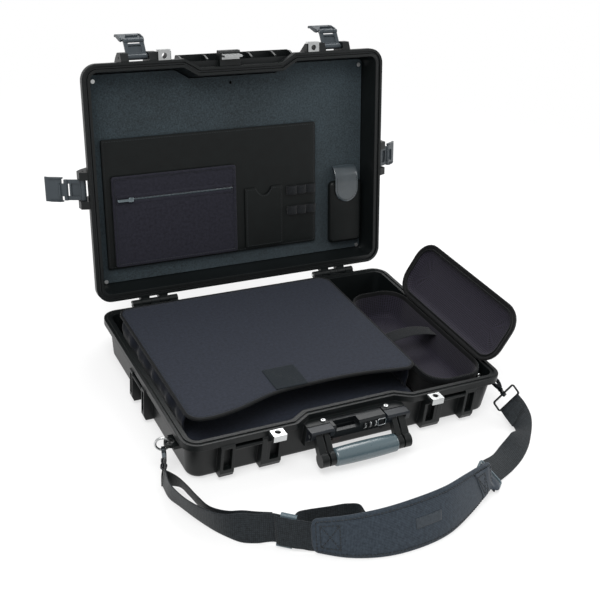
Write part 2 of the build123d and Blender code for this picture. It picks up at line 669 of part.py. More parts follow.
# ---------------------------------------------------------------- lid organizer
LINER_Z = 35.0           # the liner panel's face above the lid's rim
FOLIO = (-222.0, 143.0, -65.0, 139.0)      # x0, x1, y0, y1 in the closed case
ZIP_POCKET = (-210.0, -4.0, -8.0, 135.0)
CARD_POCKET = (12.0, 80.0, 34.0, 134.0)
PEN_LOOPS = (88.0, 141.0, 36.0, 88.0)
HOLSTER = (167.0, 229.0, 38.0, 146.0)
HOLSTER_FLAP = (176.0, 220.0, 8.0, 74.0)


def lid_sheet(name, box, low, high, radius):
    """A flat soft piece on the liner, from low to high above the lid's rim plane."""
    x0, x1, y0, y1 = box
    with BuildPart() as sheet:
        with BuildSketch(LID.offset(low)):
            with Locations(((x0 + x1) / 2, (y0 + y1) / 2)):
                RectangleRounded(x1 - x0, y1 - y0, radius)
        extrude(amount=high - low)
    save(sheet.part, name)


with BuildPart() as liner_panel:
    with BuildSketch(LID.offset(LINER_Z)):
        add(rim_outline(19.5))
        with Locations((-5, -RIM_D / 2 + 19.5 + NOTCH_DEPTH + 10)):
            Circle(2.5, mode=Mode.SUBTRACT)
        with Locations((-226, -152), (226, -152), (-226, 158), (226, 158)):
            Circle(1.8, mode=Mode.SUBTRACT)
    extrude(amount=2.0)
save(liner_panel.part, "liner_panel")

with BuildPart() as liner_screws:
    with BuildSketch(LID.offset(LINER_Z - 1.6)):
        with Locations((-226, -152), (226, -152), (-226, 158), (226, 158)):
            Circle(3.2)
    extrude(amount=1.6)
    with BuildSketch(LID.offset(LINER_Z)):
        with Locations((-226, -152), (226, -152), (-226, 158), (226, 158)):
            Circle(1.5)
    extrude(amount=9)
save(liner_screws.part, "liner_screws")

with BuildPart() as folio_pocket:
    x0, x1, y0, y1 = FOLIO
    with BuildSketch(LID.offset(29.8)):
        with Locations(((x0 + x1) / 2, (y0 + y1) / 2)):
            RectangleRounded(x1 - x0, y1 - y0, 4)
    extrude(amount=LINER_Z - 30.0)
    with BuildSketch(LID.offset(31.6)):
        with Locations(((x0 + x1) / 2, (y0 + y1) / 2 - 4)):
            RectangleRounded(x1 - x0 - 8, y1 - y0 - 2, 3)
    extrude(amount=LINER_Z - 32.4, mode=Mode.SUBTRACT)
save(folio_pocket.part, "folio_pocket")

lid_sheet("zip_pocket", ZIP_POCKET, 24.6, 29.5, 4)
lid_sheet("card_pocket", CARD_POCKET, 26.6, 29.5, 3)

with BuildPart() as zip_pull:
    with BuildSketch(LID.offset(21.6)):
        with Locations((ZIP_POCKET[0] + 20, ZIP_POCKET[2] + 37)):
            RectangleRounded(26, 6, 2)
    extrude(amount=2.6)
save(zip_pull.part, "zip_pull")

with BuildPart() as pen_loops:
    x0, x1, y0, y1 = PEN_LOOPS
    for y in (y0 + 9, y1 - 9):
        for x in (x0 + 9, (x0 + x1) / 2, x1 - 9):
            with BuildSketch(local_plane(LID, (x, y - 7, 24.2), (1, 0, 0), (0, 1, 0))):
                SlotOverall(17, 10.2)
                SlotOverall(15, 8.2, mode=Mode.SUBTRACT)
            extrude(amount=14)
    for y in (y0 + 9, y1 - 9):
        with BuildSketch(LID.offset(28.6)):
            with Locations(((x0 + x1) / 2, y)):
                Rectangle(x1 - x0, 14)
        extrude(amount=0.8)
save(pen_loops.part, "pen_loops")

with BuildPart() as phone_holster:
    x0, x1, y0, y1 = HOLSTER
    with BuildSketch(LID.offset(21.6)):
        with Locations(((x0 + x1) / 2, (y0 + y1) / 2)):
            RectangleRounded(x1 - x0, y1 - y0, 7)
    extrude(amount=LINER_Z - 21.8)
    front = phone_holster.faces().sort_by(Axis(LID.origin, LID.z_dir))[0]
    fillet(front.edges(), 3)
    with BuildSketch(local_plane(LID, ((x0 + x1) / 2, y0 - 1, 29), (1, 0, 0), (0, 1, 0))):
        RectangleRounded(x1 - x0 - 8, 8, 2)
    extrude(amount=y1 - y0 - 6, mode=Mode.SUBTRACT)
save(phone_holster.part, "phone_holster")

with BuildPart() as holster_flap:
    x0, x1, y0, y1 = HOLSTER_FLAP
    with BuildSketch(across(LID, (x0 + x1) / 2)):
        with BuildLine():
            Polyline((y1, 19.2), (y0 + 22, 19.2), (y0 + 10, 25.4), (y0 + 4.2, 32.9), (y0 + 5.8, 34.3),
                     (y0 + 13, 27.2), (y0 + 23, 21.2), (y1, 21.2), close=True)
        make_face()
        with Locations((y0 + 5, 33.6)):
            Circle(1.1)
    extrude(amount=(x1 - x0) / 2, both=True)
    tip = holster_flap.edges().filter_by(Axis(LID.origin, LID.z_dir)).sort_by(Axis(LID.origin, LID.y_dir))[-2:]
    fillet(tip, 17)
save(holster_flap.part, "holster_flap")

# ---------------------------------------------------------------- base fit-out
with BuildPart() as base_foam:
    for x0, x1, top in ((-232, 131.0, SLEEVE_Z[0] - GAP), (130.5, 232, POUCH_RIM_Z - POUCH_DEPTH - GAP)):
        with BuildSketch(Plane.XY.offset(FLOOR + 0.2)):
            with Locations(((x0 + x1) / 2, 4)):
                RectangleRounded(x1 - x0, 300, 8)
        extrude(amount=top - FLOOR - 0.2)
save(base_foam.part, "base_foam")

# ---------------------------------------------------------------- sleeve
sx0, sx1, sy0, sy1 = SLEEVE_BOX
sz0, sz1 = SLEEVE_Z
SLEEVE_WALL = 5.0
with BuildPart() as sleeve_body:
    with BuildSketch(Plane.XY.offset(sz0)):
        with Locations(((sx0 + sx1) / 2, (sy0 + sy1) / 2)):
            RectangleRounded(sx1 - sx0, sy1 - sy0, 16)
    extrude(amount=sz1 - sz0)
    fillet(sleeve_body.faces().sort_by(Axis.Z)[-1].edges(), 5)
    fillet(sleeve_body.faces().sort_by(Axis.Z)[0].edges(), 5)
    with BuildSketch(Plane((0, sy0 - 1, (sz0 + sz1) / 2), x_dir=(1, 0, 0), z_dir=(0, -1, 0))):
        with Locations(((sx0 + sx1) / 2, 0)):
            RectangleRounded(sx1 - sx0 - 16, sz1 - sz0 - 2 * SLEEVE_WALL, 6)
    extrude(amount=-(sy1 - sy0 - 8), mode=Mode.SUBTRACT)
    # the top panel's front edge waves back over the mouth
    with BuildSketch(Plane.XY.offset(sz1 - SLEEVE_WALL - 4)):
        with BuildLine():
            edge = Spline((sx0 + 24, sy0 + 2), (sx0 + 60, sy0 + 10), (sx0 + 110, sy0 + 22),
                          ((sx0 + sx1) / 2 - 10, sy0 + 25), (sx1 - 110, sy0 + 22), (sx1 - 60, sy0 + 10),
                          (sx1 - 24, sy0 + 2))
            Polyline(edge @ 1, (sx1 - 24, sy0 - 3), (sx0 + 24, sy0 - 3), edge @ 0)
        make_face()
    extrude(amount=20, mode=Mode.SUBTRACT)
save(sleeve_body.part, "sleeve_body")

with BuildPart() as sleeve_patch:
    with BuildSketch(Plane.XY.offset(sz1 + 0.2)):
        with Locations(((sx0 + sx1) / 2 - 18, sy0 + 54)):
            RectangleRounded(50, 50, 2)
    extrude(amount=1.0)
save(sleeve_patch.part, "sleeve_patch")

# ---------------------------------------------------------------- accessory pouch
px0, px1, py0, py1 = POUCH_BOX
POUCH_WALL = 2.6
POUCH_R = 34.0
pouch_rad = math.radians(POUCH_OPEN)
POUCH_HINGE = (px1 - 1.0, 0, POUCH_RIM_Z + 1.4)
POUCH_LID = Plane(
    origin=POUCH_HINGE,
    x_dir=(math.cos(pouch_rad), 0, -math.sin(pouch_rad)),
    z_dir=(math.sin(pouch_rad), 0, math.cos(pouch_rad)),
)

with BuildPart() as pouch_body:
    with BuildSketch(Plane.XY.offset(POUCH_RIM_Z - POUCH_DEPTH)):
        with Locations(((px0 + px1) / 2, (py0 + py1) / 2)):
            RectangleRounded(px1 - px0 - 6, py1 - py0 - 8, POUCH_R - 3)
    with BuildSketch(Plane.XY.offset(POUCH_RIM_Z)):
        with Locations(((px0 + px1) / 2, (py0 + py1) / 2)):
            RectangleRounded(px1 - px0, py1 - py0, POUCH_R)
    loft(ruled=True)
    fillet(pouch_body.faces().sort_by(Axis.Z)[0].edges(), 7)
    with BuildSketch(Plane.XY.offset(POUCH_RIM_Z - POUCH_DEPTH + POUCH_WALL)):
        with Locations(((px0 + px1) / 2, (py0 + py1) / 2)):
            RectangleRounded(px1 - px0 - 6 - 2 * POUCH_WALL, py1 - py0 - 8 - 2 * POUCH_WALL, POUCH_R - 6)
    with BuildSketch(Plane.XY.offset(POUCH_RIM_Z + 0.1)):
        with Locations(((px0 + px1) / 2, (py0 + py1) / 2)):
            RectangleRounded(px1 - px0 - 2 * POUCH_WALL, py1 - py0 - 2 * POUCH_WALL, POUCH_R - POUCH_WALL)
    loft(ruled=True, mode=Mode.SUBTRACT)
save(pouch_body.part, "pouch_body")

with BuildPart() as pouch_lid:
    mid = (-(px1 - px0) / 2 - 0.8, (py0 + py1) / 2)
    with BuildSketch(POUCH_LID.offset(-0.8)):
        with Locations(mid):
            RectangleRounded(px1 - px0 - 1.6, py1 - py0, POUCH_R)
    extrude(amount=POUCH_LID_H)
    top = pouch_lid.faces().sort_by(Axis(POUCH_LID.origin, POUCH_LID.z_dir))[-1]
    fillet(top.edges(), 11)
    with BuildSketch(POUCH_LID.offset(-0.9)):
        with Locations(mid):
            RectangleRounded(px1 - px0 - 2 * POUCH_WALL - 2, py1 - py0 - 2 * POUCH_WALL, POUCH_R - POUCH_WALL)
    extrude(amount=POUCH_LID_H - POUCH_WALL, taper=32, mode=Mode.SUBTRACT)
save(pouch_lid.part, "pouch_lid")

with BuildPart() as pouch_hinge:
    with BuildSketch(Plane(POUCH_HINGE, x_dir=(1, 0, 0), z_dir=(0, -1, 0))):
        Circle(0.9)
    extrude(amount=-py0 - POUCH_R)
    with BuildSketch(Plane(POUCH_HINGE, x_dir=(1, 0, 0), z_dir=(0, 1, 0))):
        Circle(0.9)
    extrude(amount=py1 - POUCH_R)
save(pouch_hinge.part, "pouch_hinge")

with BuildPart() as pouch_band:
    band_w = px1 - px0 - 2 * POUCH_WALL - 3
    band_mid = (px0 + px1) / 2
    with BuildSketch(Plane((band_mid, -18, 0), x_dir=(1, 0, 0), z_dir=(0, -1, 0))):
        with BuildLine():
            arch = ThreePointArc((-band_w / 2, POUCH_RIM_Z - 14), (0, POUCH_RIM_Z - 6),
                                 (band_w / 2, POUCH_RIM_Z - 14))
            Polyline(arch @ 1, (band_w / 2, POUCH_RIM_Z - 15.6))
            under = ThreePointArc((band_w / 2, POUCH_RIM_Z - 15.6), (0, POUCH_RIM_Z - 7.6),
                                  (-band_w / 2, POUCH_RIM_Z - 15.6))
            Polyline(under @ 1, arch @ 0)
        make_face()
    extrude(amount=12.5, both=True)
save(pouch_band.part, "pouch_band")

with BuildPart() as pouch_pull:
    with BuildSketch(Plane((px1 - 18, py0 - 1.6, POUCH_RIM_Z - 12), x_dir=(1, 0, 0), z_dir=(0, -1, 0))):
        RectangleRounded(5, 22, 2)
        with Locations((0, 7)):
            Circle(1.2, mode=Mode.SUBTRACT)
    extrude(amount=1.4)
save(pouch_pull.part, "pouch_pull")

# ---------------------------------------------------------------- shoulder strap
# The strap lies in front of the case, most of it on its edge on the floor.  A band's stations
# give its lower edge and its upper edge, from the case's side towards the pad.
RING_R = 9.5
RING_WIRE = 1.7
RING_SLACK = 1.2
HOOK_L = 26.0            # from the ring's wire to the loop's near bar
LOOP_DEPTH = 17.0        # between the middles of the loop's two bars
LOOP_BAR = 2.0
HALF_W = WEBBING_W / 2
# for each end: the lug's side, and the ways of the ring, of the eye round the ring, of the hook and
# of the loop's bars
STRAP_ENDS = {
    "left": (-1, (-0.92, 0.333, -0.208), (0.196, -0.071, -0.978), (-0.32, -0.895, -0.31), (-0.04, -0.315, 0.948)),
    "right": (1, (0.05, -0.97, -0.24), (0.05, -0.97, -0.24), (0.0, -0.96, -0.28), (0.476, -0.245, 0.843)),
}
BUCKLE_BAR = (-0.526, 0.579, 0.632)      # the loop between the pad and the right webbing
BUCKLE_WAY = (-0.767, -0.639, -0.05)
BUCKLE_AT = (144.5, -308.5, 15.8)
LEFT_RUN = [
    ((-275, -190, 1.0), (-280, -203, 37)), ((-268, -209, 1.0), (-276, -222, 36)),
    ((-256, -241, 1.0), (-263, -252, 36)), ((-237, -278, 1.0), (-239, -281, 38.8)),
    ((-223, -296, 1.0), (-220, -284, 37)), ((-206, -305, 1.0), (-202, -292, 36.6)),
    ((-184, -315.3, 4.0), (-184, -301.8, 39.5)), ((-160, -334.4, 4.0), (-160, -320.9, 39.5)),
    ((-152.4, -341.6, 2.0), (-150.9, -327.0, 37)),
]
LEFT_TAIL = [
    ((-160, -334.4, 4.0), (-160, -320.9, 39.5)), ((-151, -322, 1.0), (-150, -312, 37.5)),
    ((-137, -315, 1.0), (-137, -308, 38.3)), ((-111, -320, 1.0), (-111, -314, 38.5)),
    ((-88, -321, 1.0), (-88, -316, 38.6)), ((-76, -327, 1.0), (-75, -322, 38.6)), ((-74, -341, 1.0), (-75, -337, 38.7)),
]
RIGHT_RUN = [
    ((243, -213, 12), (271, -211, 35)), ((244, -229, 9), (281, -222, 13)), ((223, -248, 17), (256, -255, 1.0)),
    ((194, -263, 13), (223, -284, 1.0)), ((166, -282, 19), (190, -303, 1.0)),
]
PAD_ROUTE = ((-148, -345), (-112, -369), (-68, -384), (-20, -387), (28, -380), (72, -362), (112, -341),
             (132, -330))
PAD_LEAN = (0.04, 0.42)
PAD_WAY = (0.83, -0.55, 0.198)           # the pad's run at its left end
PAD_W = 68.0
PAD_T = 9.0
PAD_TAB = ((118, -336.6, 4.0), (119.4, -322, 38))        # the pad's tab starts inside the pad here


def on_bar(middle, bar):
    """The two ends of a band that hangs over a bar."""
    return (middle - Vector(*bar) * HALF_W, middle + Vector(*bar) * HALF_W)


def ribbon(stations, start_way=None, end_way=None):
    """A flat band through stations of its lower and upper edge; its ends may be squared to a way."""
    middles = [(Vector(*low) + Vector(*high)) * 0.5 for low, high in stations]
    with BuildPart() as strip:
        for k, (low, high) in enumerate(stations):
            way = middles[min(k + 1, len(middles) - 1)] - middles[max(k - 1, 0)]
            if k == 0 and start_way:
                way = Vector(*start_way)
            if k == len(middles) - 1 and end_way:
                way = Vector(*end_way)
            with BuildSketch(Plane(origin=middles[k], x_dir=Vector(*high) - Vector(*low), z_dir=way)):
                Rectangle(WEBBING_W, WEBBING_T)
        loft(ruled=True)
    return strip.part


def bar_loop(near, way, bar):
    """A flat loop with two bars, its near bar at a point and its far bar out along the way."""
    centre = near + Vector(*way) * (LOOP_DEPTH / 2)
    with BuildPart() as loop:
        with BuildSketch(Plane(origin=centre, x_dir=Vector(*way), z_dir=Vector(*way).cross(Vector(*bar)))):
            RectangleRounded(LOOP_DEPTH + LOOP_BAR, WEBBING_W + 1.6 + 2 * LOOP_BAR, 3.5)
            RectangleRounded(LOOP_DEPTH - LOOP_BAR, WEBBING_W + 1.6, 2, mode=Mode.SUBTRACT)
        extrude(amount=1.4, both=True)
    return loop.part


band_starts = {}
with BuildPart() as strap_rings:
    for side, ring_way, eye_way, hook_way, bar_way in STRAP_ENDS.values():
        lug = Vector(side * LUG_X, LUG_Y, LUG_Z)
        way = Vector(*ring_way)
        normal = way.cross(Vector(0, 0, -1)).normalized()
        centre = lug + way * (RING_R + RING_SLACK)
        with BuildSketch(Plane(origin=centre + way * RING_R, x_dir=way, z_dir=normal.cross(way))):
            Circle(RING_WIRE)
        revolve(axis=Axis(centre, normal))
save(strap_rings.part, "strap_rings")

for name, (side, ring_way, eye_way, hook_way, bar_way) in STRAP_ENDS.items():
    lug = Vector(side * LUG_X, LUG_Y, LUG_Z)
    way = Vector(*ring_way)
    eye = lug + way * (RING_R + RING_SLACK) + Vector(*eye_way) * RING_R
    along = Vector(*hook_way)
    tangent = way.cross(Vector(0, 0, -1)).cross(Vector(*eye_way)).normalized()
    near = eye + along * HOOK_L
    with BuildPart() as hook:
        # the claw round the ring, its neck, the swivel barrel and the eye round the loop's bar
        with BuildSketch(Plane(origin=eye, x_dir=along, z_dir=tangent)):
            with Locations((2.4, 0)):
                Circle(6.6)
            with BuildLine():
                Polyline((2.4, -6.6), (9, -5.6), (15.6, -3.2), (15.6, 3.2), (9, 5.6), (2.4, 6.6), close=True)
            make_face()
            with Locations((0.5, 0), (6.2, 0)):
                Circle(3.0, mode=Mode.SUBTRACT)
            with Locations((3.4, 0)):
                Rectangle(5.8, 6.0, mode=Mode.SUBTRACT)
        extrude(amount=2.4, both=True)
        with BuildSketch(Plane(origin=eye + along * 15, x_dir=Vector(*bar_way), z_dir=along)):
            Circle(3.7)
        extrude(amount=4.2)
        with BuildSketch(Plane(origin=near, x_dir=along, z_dir=Vector(*bar_way))):
            Circle(4.6)
            with Locations((-5, 0)):
                Rectangle(5, 4.4)
            Circle(2.3, mode=Mode.SUBTRACT)
        extrude(amount=2.2, both=True)
    save(hook.part, f"snap_hook_{name}")
    save(bar_loop(near, along, bar_way), f"strap_loop_{name}")
    band_starts[name] = on_bar(near + along * (LOOP_DEPTH + LOOP_BAR / 2 + 0.1), bar_way)

with BuildPart() as webbing_left:
    add(ribbon([band_starts["left"]] + LEFT_RUN, STRAP_ENDS["left"][3], PAD_WAY))
    add(ribbon(LEFT_TAIL))
save(webbing_left.part, "webbing_left")

buckle_near = Vector(*BUCKLE_AT)
buckle_way = Vector(*BUCKLE_WAY)
run_end = on_bar(buckle_near - buckle_way * (LOOP_BAR / 2 + 0.1), BUCKLE_BAR)
right_band = ribbon([band_starts["right"]] + RIGHT_RUN + [run_end], STRAP_ENDS["right"][3], BUCKLE_WAY)
save(right_band, "webbing_right")
save(bar_loop(buckle_near, buckle_way, BUCKLE_BAR), "adjuster_right")


def bend_radii(points):
    """An arc at each corner as large as its two runs allow."""
    radii = []
    for a, b, c in zip(points, points[1:], points[2:]):
        run_in = Vector(b[0] - a[0], b[1] - a[1])
        run_out = Vector(c[0] - b[0], c[1] - b[1])
        turn = math.radians(run_in.get_angle(run_out))
        radii.append(0.45 * min(run_in.length, run_out.length) / math.tan(turn / 2))
    return radii


with BuildPart() as shoulder_pad:
    with BuildSketch(Plane.XY.offset(0.4)):
        with BuildLine() as path:
            FilletPolyline(*PAD_ROUTE, radius=bend_radii(PAD_ROUTE))
        trace(path.wires(), line_width=PAD_T)
    extrude(amount=PAD_W, dir=(*PAD_LEAN, 1))
    # the pad narrows to both ends
    with BuildSketch(Plane.XZ.offset(250)):
        with BuildLine():
            top = ThreePointArc((-152, 42), (0, 62.6), (138, 42))
            end = Line(top @ 1, (138, 7))
            low = ThreePointArc(end @ 1, (0, -1), (-152, 7))
            Line(low @ 1, top @ 0)
        make_face()
    extrude(amount=180, mode=Mode.INTERSECT)
    tab_start = on_bar(buckle_near + buckle_way * (LOOP_DEPTH + LOOP_BAR / 2 + 0.1), BUCKLE_BAR)
    add(ribbon([tab_start, PAD_TAB], start_way=BUCKLE_WAY))
save(shoulder_pad.part, "shoulder_pad")

# the tri-glide on the left run: two bars and their side frames, round the straight part of the band
SLIDE_L = 20.0
slide_low, slide_high = LEFT_RUN[6], LEFT_RUN[7]
slide_way = (Vector(*slide_high[0]) - Vector(*slide_low[0])).normalized()
slide_up = (Vector(*slide_low[1]) - Vector(*slide_low[0])).normalized()
slide_mid = (Vector(*slide_low[0]) + Vector(*slide_high[1])) * 0.5
slide_start = Plane(origin=slide_mid - slide_way * (SLIDE_L / 2), x_dir=slide_up, z_dir=slide_way)
with BuildPart() as adjuster_left:
    with BuildSketch(slide_start):
        RectangleRounded(WEBBING_W + 5, 8, 2.2)
        Rectangle(WEBBING_W + 1.6, 4, mode=Mode.SUBTRACT)
    extrude(amount=SLIDE_L)
    with BuildSketch(slide_start.offset(6.5)):
        Rectangle(WEBBING_W - 3, 12)
    extrude(amount=7, mode=Mode.SUBTRACT)
save(adjuster_left.part, "adjuster_left")
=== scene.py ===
"""Laptop hard case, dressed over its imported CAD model.

All places are in metres in the part's own frame: origin at the centre of the base's underside,
+X right, +Y to the hinge, +Z up.  The case stands open.
"""
import math
import bmesh
import bpy
import numpy as np
from mathutils import Matrix, Vector


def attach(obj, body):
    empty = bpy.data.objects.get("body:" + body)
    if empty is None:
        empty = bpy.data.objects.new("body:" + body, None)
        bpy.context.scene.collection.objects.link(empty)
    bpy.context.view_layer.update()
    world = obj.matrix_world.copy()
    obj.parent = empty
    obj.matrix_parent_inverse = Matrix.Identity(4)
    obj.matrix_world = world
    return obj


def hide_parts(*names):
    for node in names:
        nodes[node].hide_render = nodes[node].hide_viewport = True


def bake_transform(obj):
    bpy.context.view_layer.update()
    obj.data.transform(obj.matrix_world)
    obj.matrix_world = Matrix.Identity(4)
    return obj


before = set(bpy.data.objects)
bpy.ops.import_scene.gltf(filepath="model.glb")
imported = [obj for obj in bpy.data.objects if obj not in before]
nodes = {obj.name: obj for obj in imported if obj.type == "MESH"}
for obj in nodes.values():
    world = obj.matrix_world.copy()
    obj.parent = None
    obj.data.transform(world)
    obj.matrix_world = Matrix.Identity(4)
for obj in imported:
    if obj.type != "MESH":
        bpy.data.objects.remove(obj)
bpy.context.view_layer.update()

# ---------------------------------------------------------------- camera
# A long lens in front of the case and to its left, looking down into it.  Its head is turned from
# +Y towards +X, tipped down and rolled a little.
VIEW_FROM = (-0.65762, -1.14895, 0.88567)
VIEW_TURN, VIEW_DOWN, VIEW_ROLL = (math.radians(angle) for angle in (29.586, 29.331, 5.766))
LENS_MM, SENSOR_MM = 61.98, 36.0

lens = bpy.data.cameras.new("camera")
lens.lens, lens.sensor_width, lens.clip_start = LENS_MM, SENSOR_MM, 0.05
camera = bpy.data.objects.new("camera", lens)
bpy.context.scene.collection.objects.link(camera)
camera.matrix_world = (Matrix.Translation(VIEW_FROM) @ Matrix.Rotation(-VIEW_TURN, 4, "Z")
                       @ Matrix.Rotation(math.pi / 2 - VIEW_DOWN, 4, "X")
                       @ Matrix.Rotation(VIEW_ROLL, 4, "Z"))
bpy.context.scene.camera = camera


# ---------------------------------------------------------------- shells
# Base and lid are injection moulded in filled polypropylene, and so are the lock's hasp and the
# handle's frame.  The mould's spark-eroded grain turns the black to a soft charcoal in grazing light.
def linear(code):
    """An sRGB hex colour as linear RGBA, by undoing the sRGB curve channel by channel."""
    srgb = np.array([int(code[i:i + 2], 16) for i in (1, 3, 5)]) / 255
    rgb = np.where(srgb <= 0.04045, srgb / 12.92, ((srgb + 0.055) / 1.055) ** 2.4)
    return (*rgb.tolist(), 1.0)


def node(material, kind, inputs=None, **settings):
    """Adds a shader node.  inputs maps sockets to values, to sockets to link, or to nodes, which give
    their first output."""
    made = material.node_tree.nodes.new("ShaderNode" + kind)
    for name, value in settings.items():
        setattr(made, name, value)
    for name, value in (inputs or {}).items():
        if isinstance(value, bpy.types.Node):
            value = value.outputs[0]
        if isinstance(value, bpy.types.NodeSocket):
            material.node_tree.links.new(value, made.inputs[name])
        else:
            made.inputs[name].default_value = value
    return made


def new_material(name):
    """A material with an empty node tree."""
    material = bpy.data.materials.new(name)
    material.use_nodes = True
    material.node_tree.nodes.clear()
    return material


def end_material(material, surface):
    """The material, with this shader as its surface."""
    node(material, "OutputMaterial", {"Surface": surface})
    return material


def end_skin(material, share, dark, pale, bump, gloss, invert=False):
    """The material, with a skin that goes from dark to pale by share.  bump holds the inputs of its Bump
    node, and gloss the other inputs of the skin."""
    tone = node(material, "Mix", {0: share, 6: linear(dark), 7: linear(pale)}, data_type="RGBA")
    relief = node(material, "Bump", bump, invert=invert)
    skin = node(material, "BsdfPrincipled", {"Base Color": tone.outputs[2], "Normal": relief, **gloss})
    return end_material(material, skin)


def dress(material, *names):
    """Gives CAD nodes this material in every slot they have."""
    for name in names:
        slots = nodes[name].material_slots
        if not slots:
            nodes[name].data.materials.append(material)
        for slot in slots:
            slot.material = material


def moulded(name, dark, pale, grain_mm, gloss, edge_mm, relief, metallic=0.0, shine=0.3, ior=1.49):
    """A skin from a mould: an eroded grain over a slow cloud of colour, with edges softened in shading.
    gloss is the least and the most roughness, relief the grain's strength."""
    material = new_material(name)
    place = node(material, "TexCoord").outputs["Object"]
    grain = node(material, "TexNoise", {"Vector": place, "Scale": 1000 / grain_mm, "Detail": 3.0,
                                        "Roughness": 0.6})
    cloud = node(material, "TexNoise", {"Vector": place, "Scale": 16.0, "Detail": 3.0})
    rough = node(material, "MapRange", {"Value": grain, "To Min": gloss[0], "To Max": gloss[1]})
    edge = node(material, "Bevel", {"Radius": edge_mm / 1000}, samples=4)
    return end_skin(material, cloud, dark, pale,
                    {"Height": grain, "Strength": relief, "Distance": 0.0002, "Normal": edge},
                    {"Roughness": rough, "IOR": ior, "Metallic": metallic, "Specular IOR Level": shine})


polypropylene = moulded("polypropylene moulded grained", "#080b0b", "#0f1314", grain_mm=0.7,
                        gloss=(0.32, 0.5), edge_mm=1.2, relief=0.2)
dress(polypropylene, "base_shell", "lid_shell", "lock_hasp", "handle_frame")

# The seal in the lid's groove is an extruded EPDM cord, matt and a little paler than the shell.
seal_rubber = moulded("EPDM rubber extruded", "#17191a", "#1d2021", grain_mm=0.5, gloss=(0.6, 0.75),
                      edge_mm=0.3, relief=0.1)
dress(seal_rubber, "lid_seal")

# ---------------------------------------------------------------- floor and lamps
# A sheet of pale studio paper lies under the case.  Three soft lamps stand round it: the key lamp
# in front on the left, one behind for the rims, and a weak one on the right.
FLOOR_HALF = 6.0
SHADOW_ENDS, WHITE_BEGINS = 0.7, 1.5             # from the origin
PAPER_GLOW = 0.62                                # share of plain white over the paper near the case
SKY_LIGHT = 0.55


def studio_paper():
    """Pale paper that shows white to the camera and in gloss, and keeps the object's soft shadow.  Away
    from the object it goes over into the white of the background."""
    material = new_material("studio paper")
    rays = node(material, "LightPath")
    seen = node(material, "Math", {0: rays.outputs["Is Camera Ray"], 1: rays.outputs["Is Glossy Ray"]},
                operation="MAXIMUM")
    seen = node(material, "Math", {0: seen, 1: rays.outputs["Is Transmission Ray"]}, operation="MAXIMUM")
    far = node(material, "VectorMath", {0: node(material, "TexCoord").outputs["Object"]}, operation="LENGTH")
    fade = node(material, "MapRange", {"Value": far.outputs["Value"], "From Min": SHADOW_ENDS,
                                       "From Max": WHITE_BEGINS, "To Min": PAPER_GLOW, "To Max": 1.0},
                interpolation_type="SMOOTHSTEP")
    share = node(material, "Math", {0: seen, 1: fade}, operation="MULTIPLY")
    paper = node(material, "BsdfDiffuse", {"Color": linear("#f4f4f4")})
    white = node(material, "Emission", {"Color": (1, 1, 1, 1), "Strength": 1.0})
    return end_material(material, node(material, "MixShader", {0: share, 1: paper, 2: white}))


floor_mesh = bpy.data.meshes.new("floor")
floor_mesh.from_pydata([(x * FLOOR_HALF, y * FLOOR_HALF, 0) for x, y in ((-1, -1), (1, -1), (1, 1), (-1, 1))],
                       [], [(0, 1, 2, 3)])
floor_mesh.materials.append(studio_paper())
floor = bpy.data.objects.new("floor", floor_mesh)
bpy.context.scene.collection.objects.link(floor)

for name, place, aim_height, size, watts in (("key_lamp", (-0.9, -0.9, 2.2), 0.1, 1.4, 44),
                                             ("back_lamp", (0.6, 1.3, 1.9), 0.2, 1.2, 30),
                                             ("side_lamp", (1.9, -0.7, 1.0), 0.1, 1.2, 14)):
    lamp = bpy.data.lights.new(name, "AREA")
    lamp.shape, lamp.size, lamp.energy = "SQUARE", size, watts
    holder = bpy.data.objects.new(name, lamp)
    holder.location = place
    holder.rotation_euler = (Vector((0, 0, aim_height)) - Vector(place)).to_track_quat("-Z", "Y").to_euler()
    bpy.context.scene.collection.objects.link(holder)

world = bpy.data.worlds.new("studio")
world.use_nodes = True
world.node_tree.nodes.clear()
sky_rays = node(world, "LightPath")
sky_strength = node(world, "MapRange", {"Value": sky_rays.outputs["Is Camera Ray"], "To Min": SKY_LIGHT,
                                        "To Max": 1.0})
sky = node(world, "Background", {"Color": (1, 1, 1, 1), "Strength": sky_strength})
node(world, "OutputWorld", {"Surface": sky})
bpy.context.scene.world = world
bpy.context.scene.view_settings.view_transform = "Standard"


# ---------------------------------------------------------------- steelwork
# Pins, padlock plates, strap rings, screws, the lock's striker and the pouch's puller are stainless
# steel, rolled or drawn and left bright.  Fine lines from the drawing pull their highlights out.
def rolled_steel():
    """Stainless steel with fine lines along x, about 0.3 mm apart."""
    material = new_material("stainless steel rolled")
    place = node(material, "TexCoord").outputs["Object"]
    drawn = node(material, "Mapping", {"Vector": place, "Scale": (300.0, 3000.0, 3000.0)})
    lines = node(material, "TexNoise", {"Vector": drawn, "Scale": 1.0, "Detail": 2.0})
    gloss = node(material, "MapRange", {"Value": lines, "To Min": 0.22, "To Max": 0.4})
    edge = node(material, "Bevel", {"Radius": 0.0004}, samples=4)
    metal = node(material, "BsdfPrincipled", {
        "Base Color": linear("#c8caca"), "Metallic": 1.0, "Roughness": gloss, "Normal": edge})
    return end_material(material, metal)


STATIONS = ("front_left", "front_right", "side_left", "side_right")
dress(rolled_steel(), "hinge_pins", "padlock_plates_base", "padlock_plates_lid", "latch_lid_pins",
      "liner_screws", "ledge_screws", "handle_pins", "strap_rings", "lock_striker", "pouch_pull",
      *[f"latch_{station}_pin" for station in STATIONS])

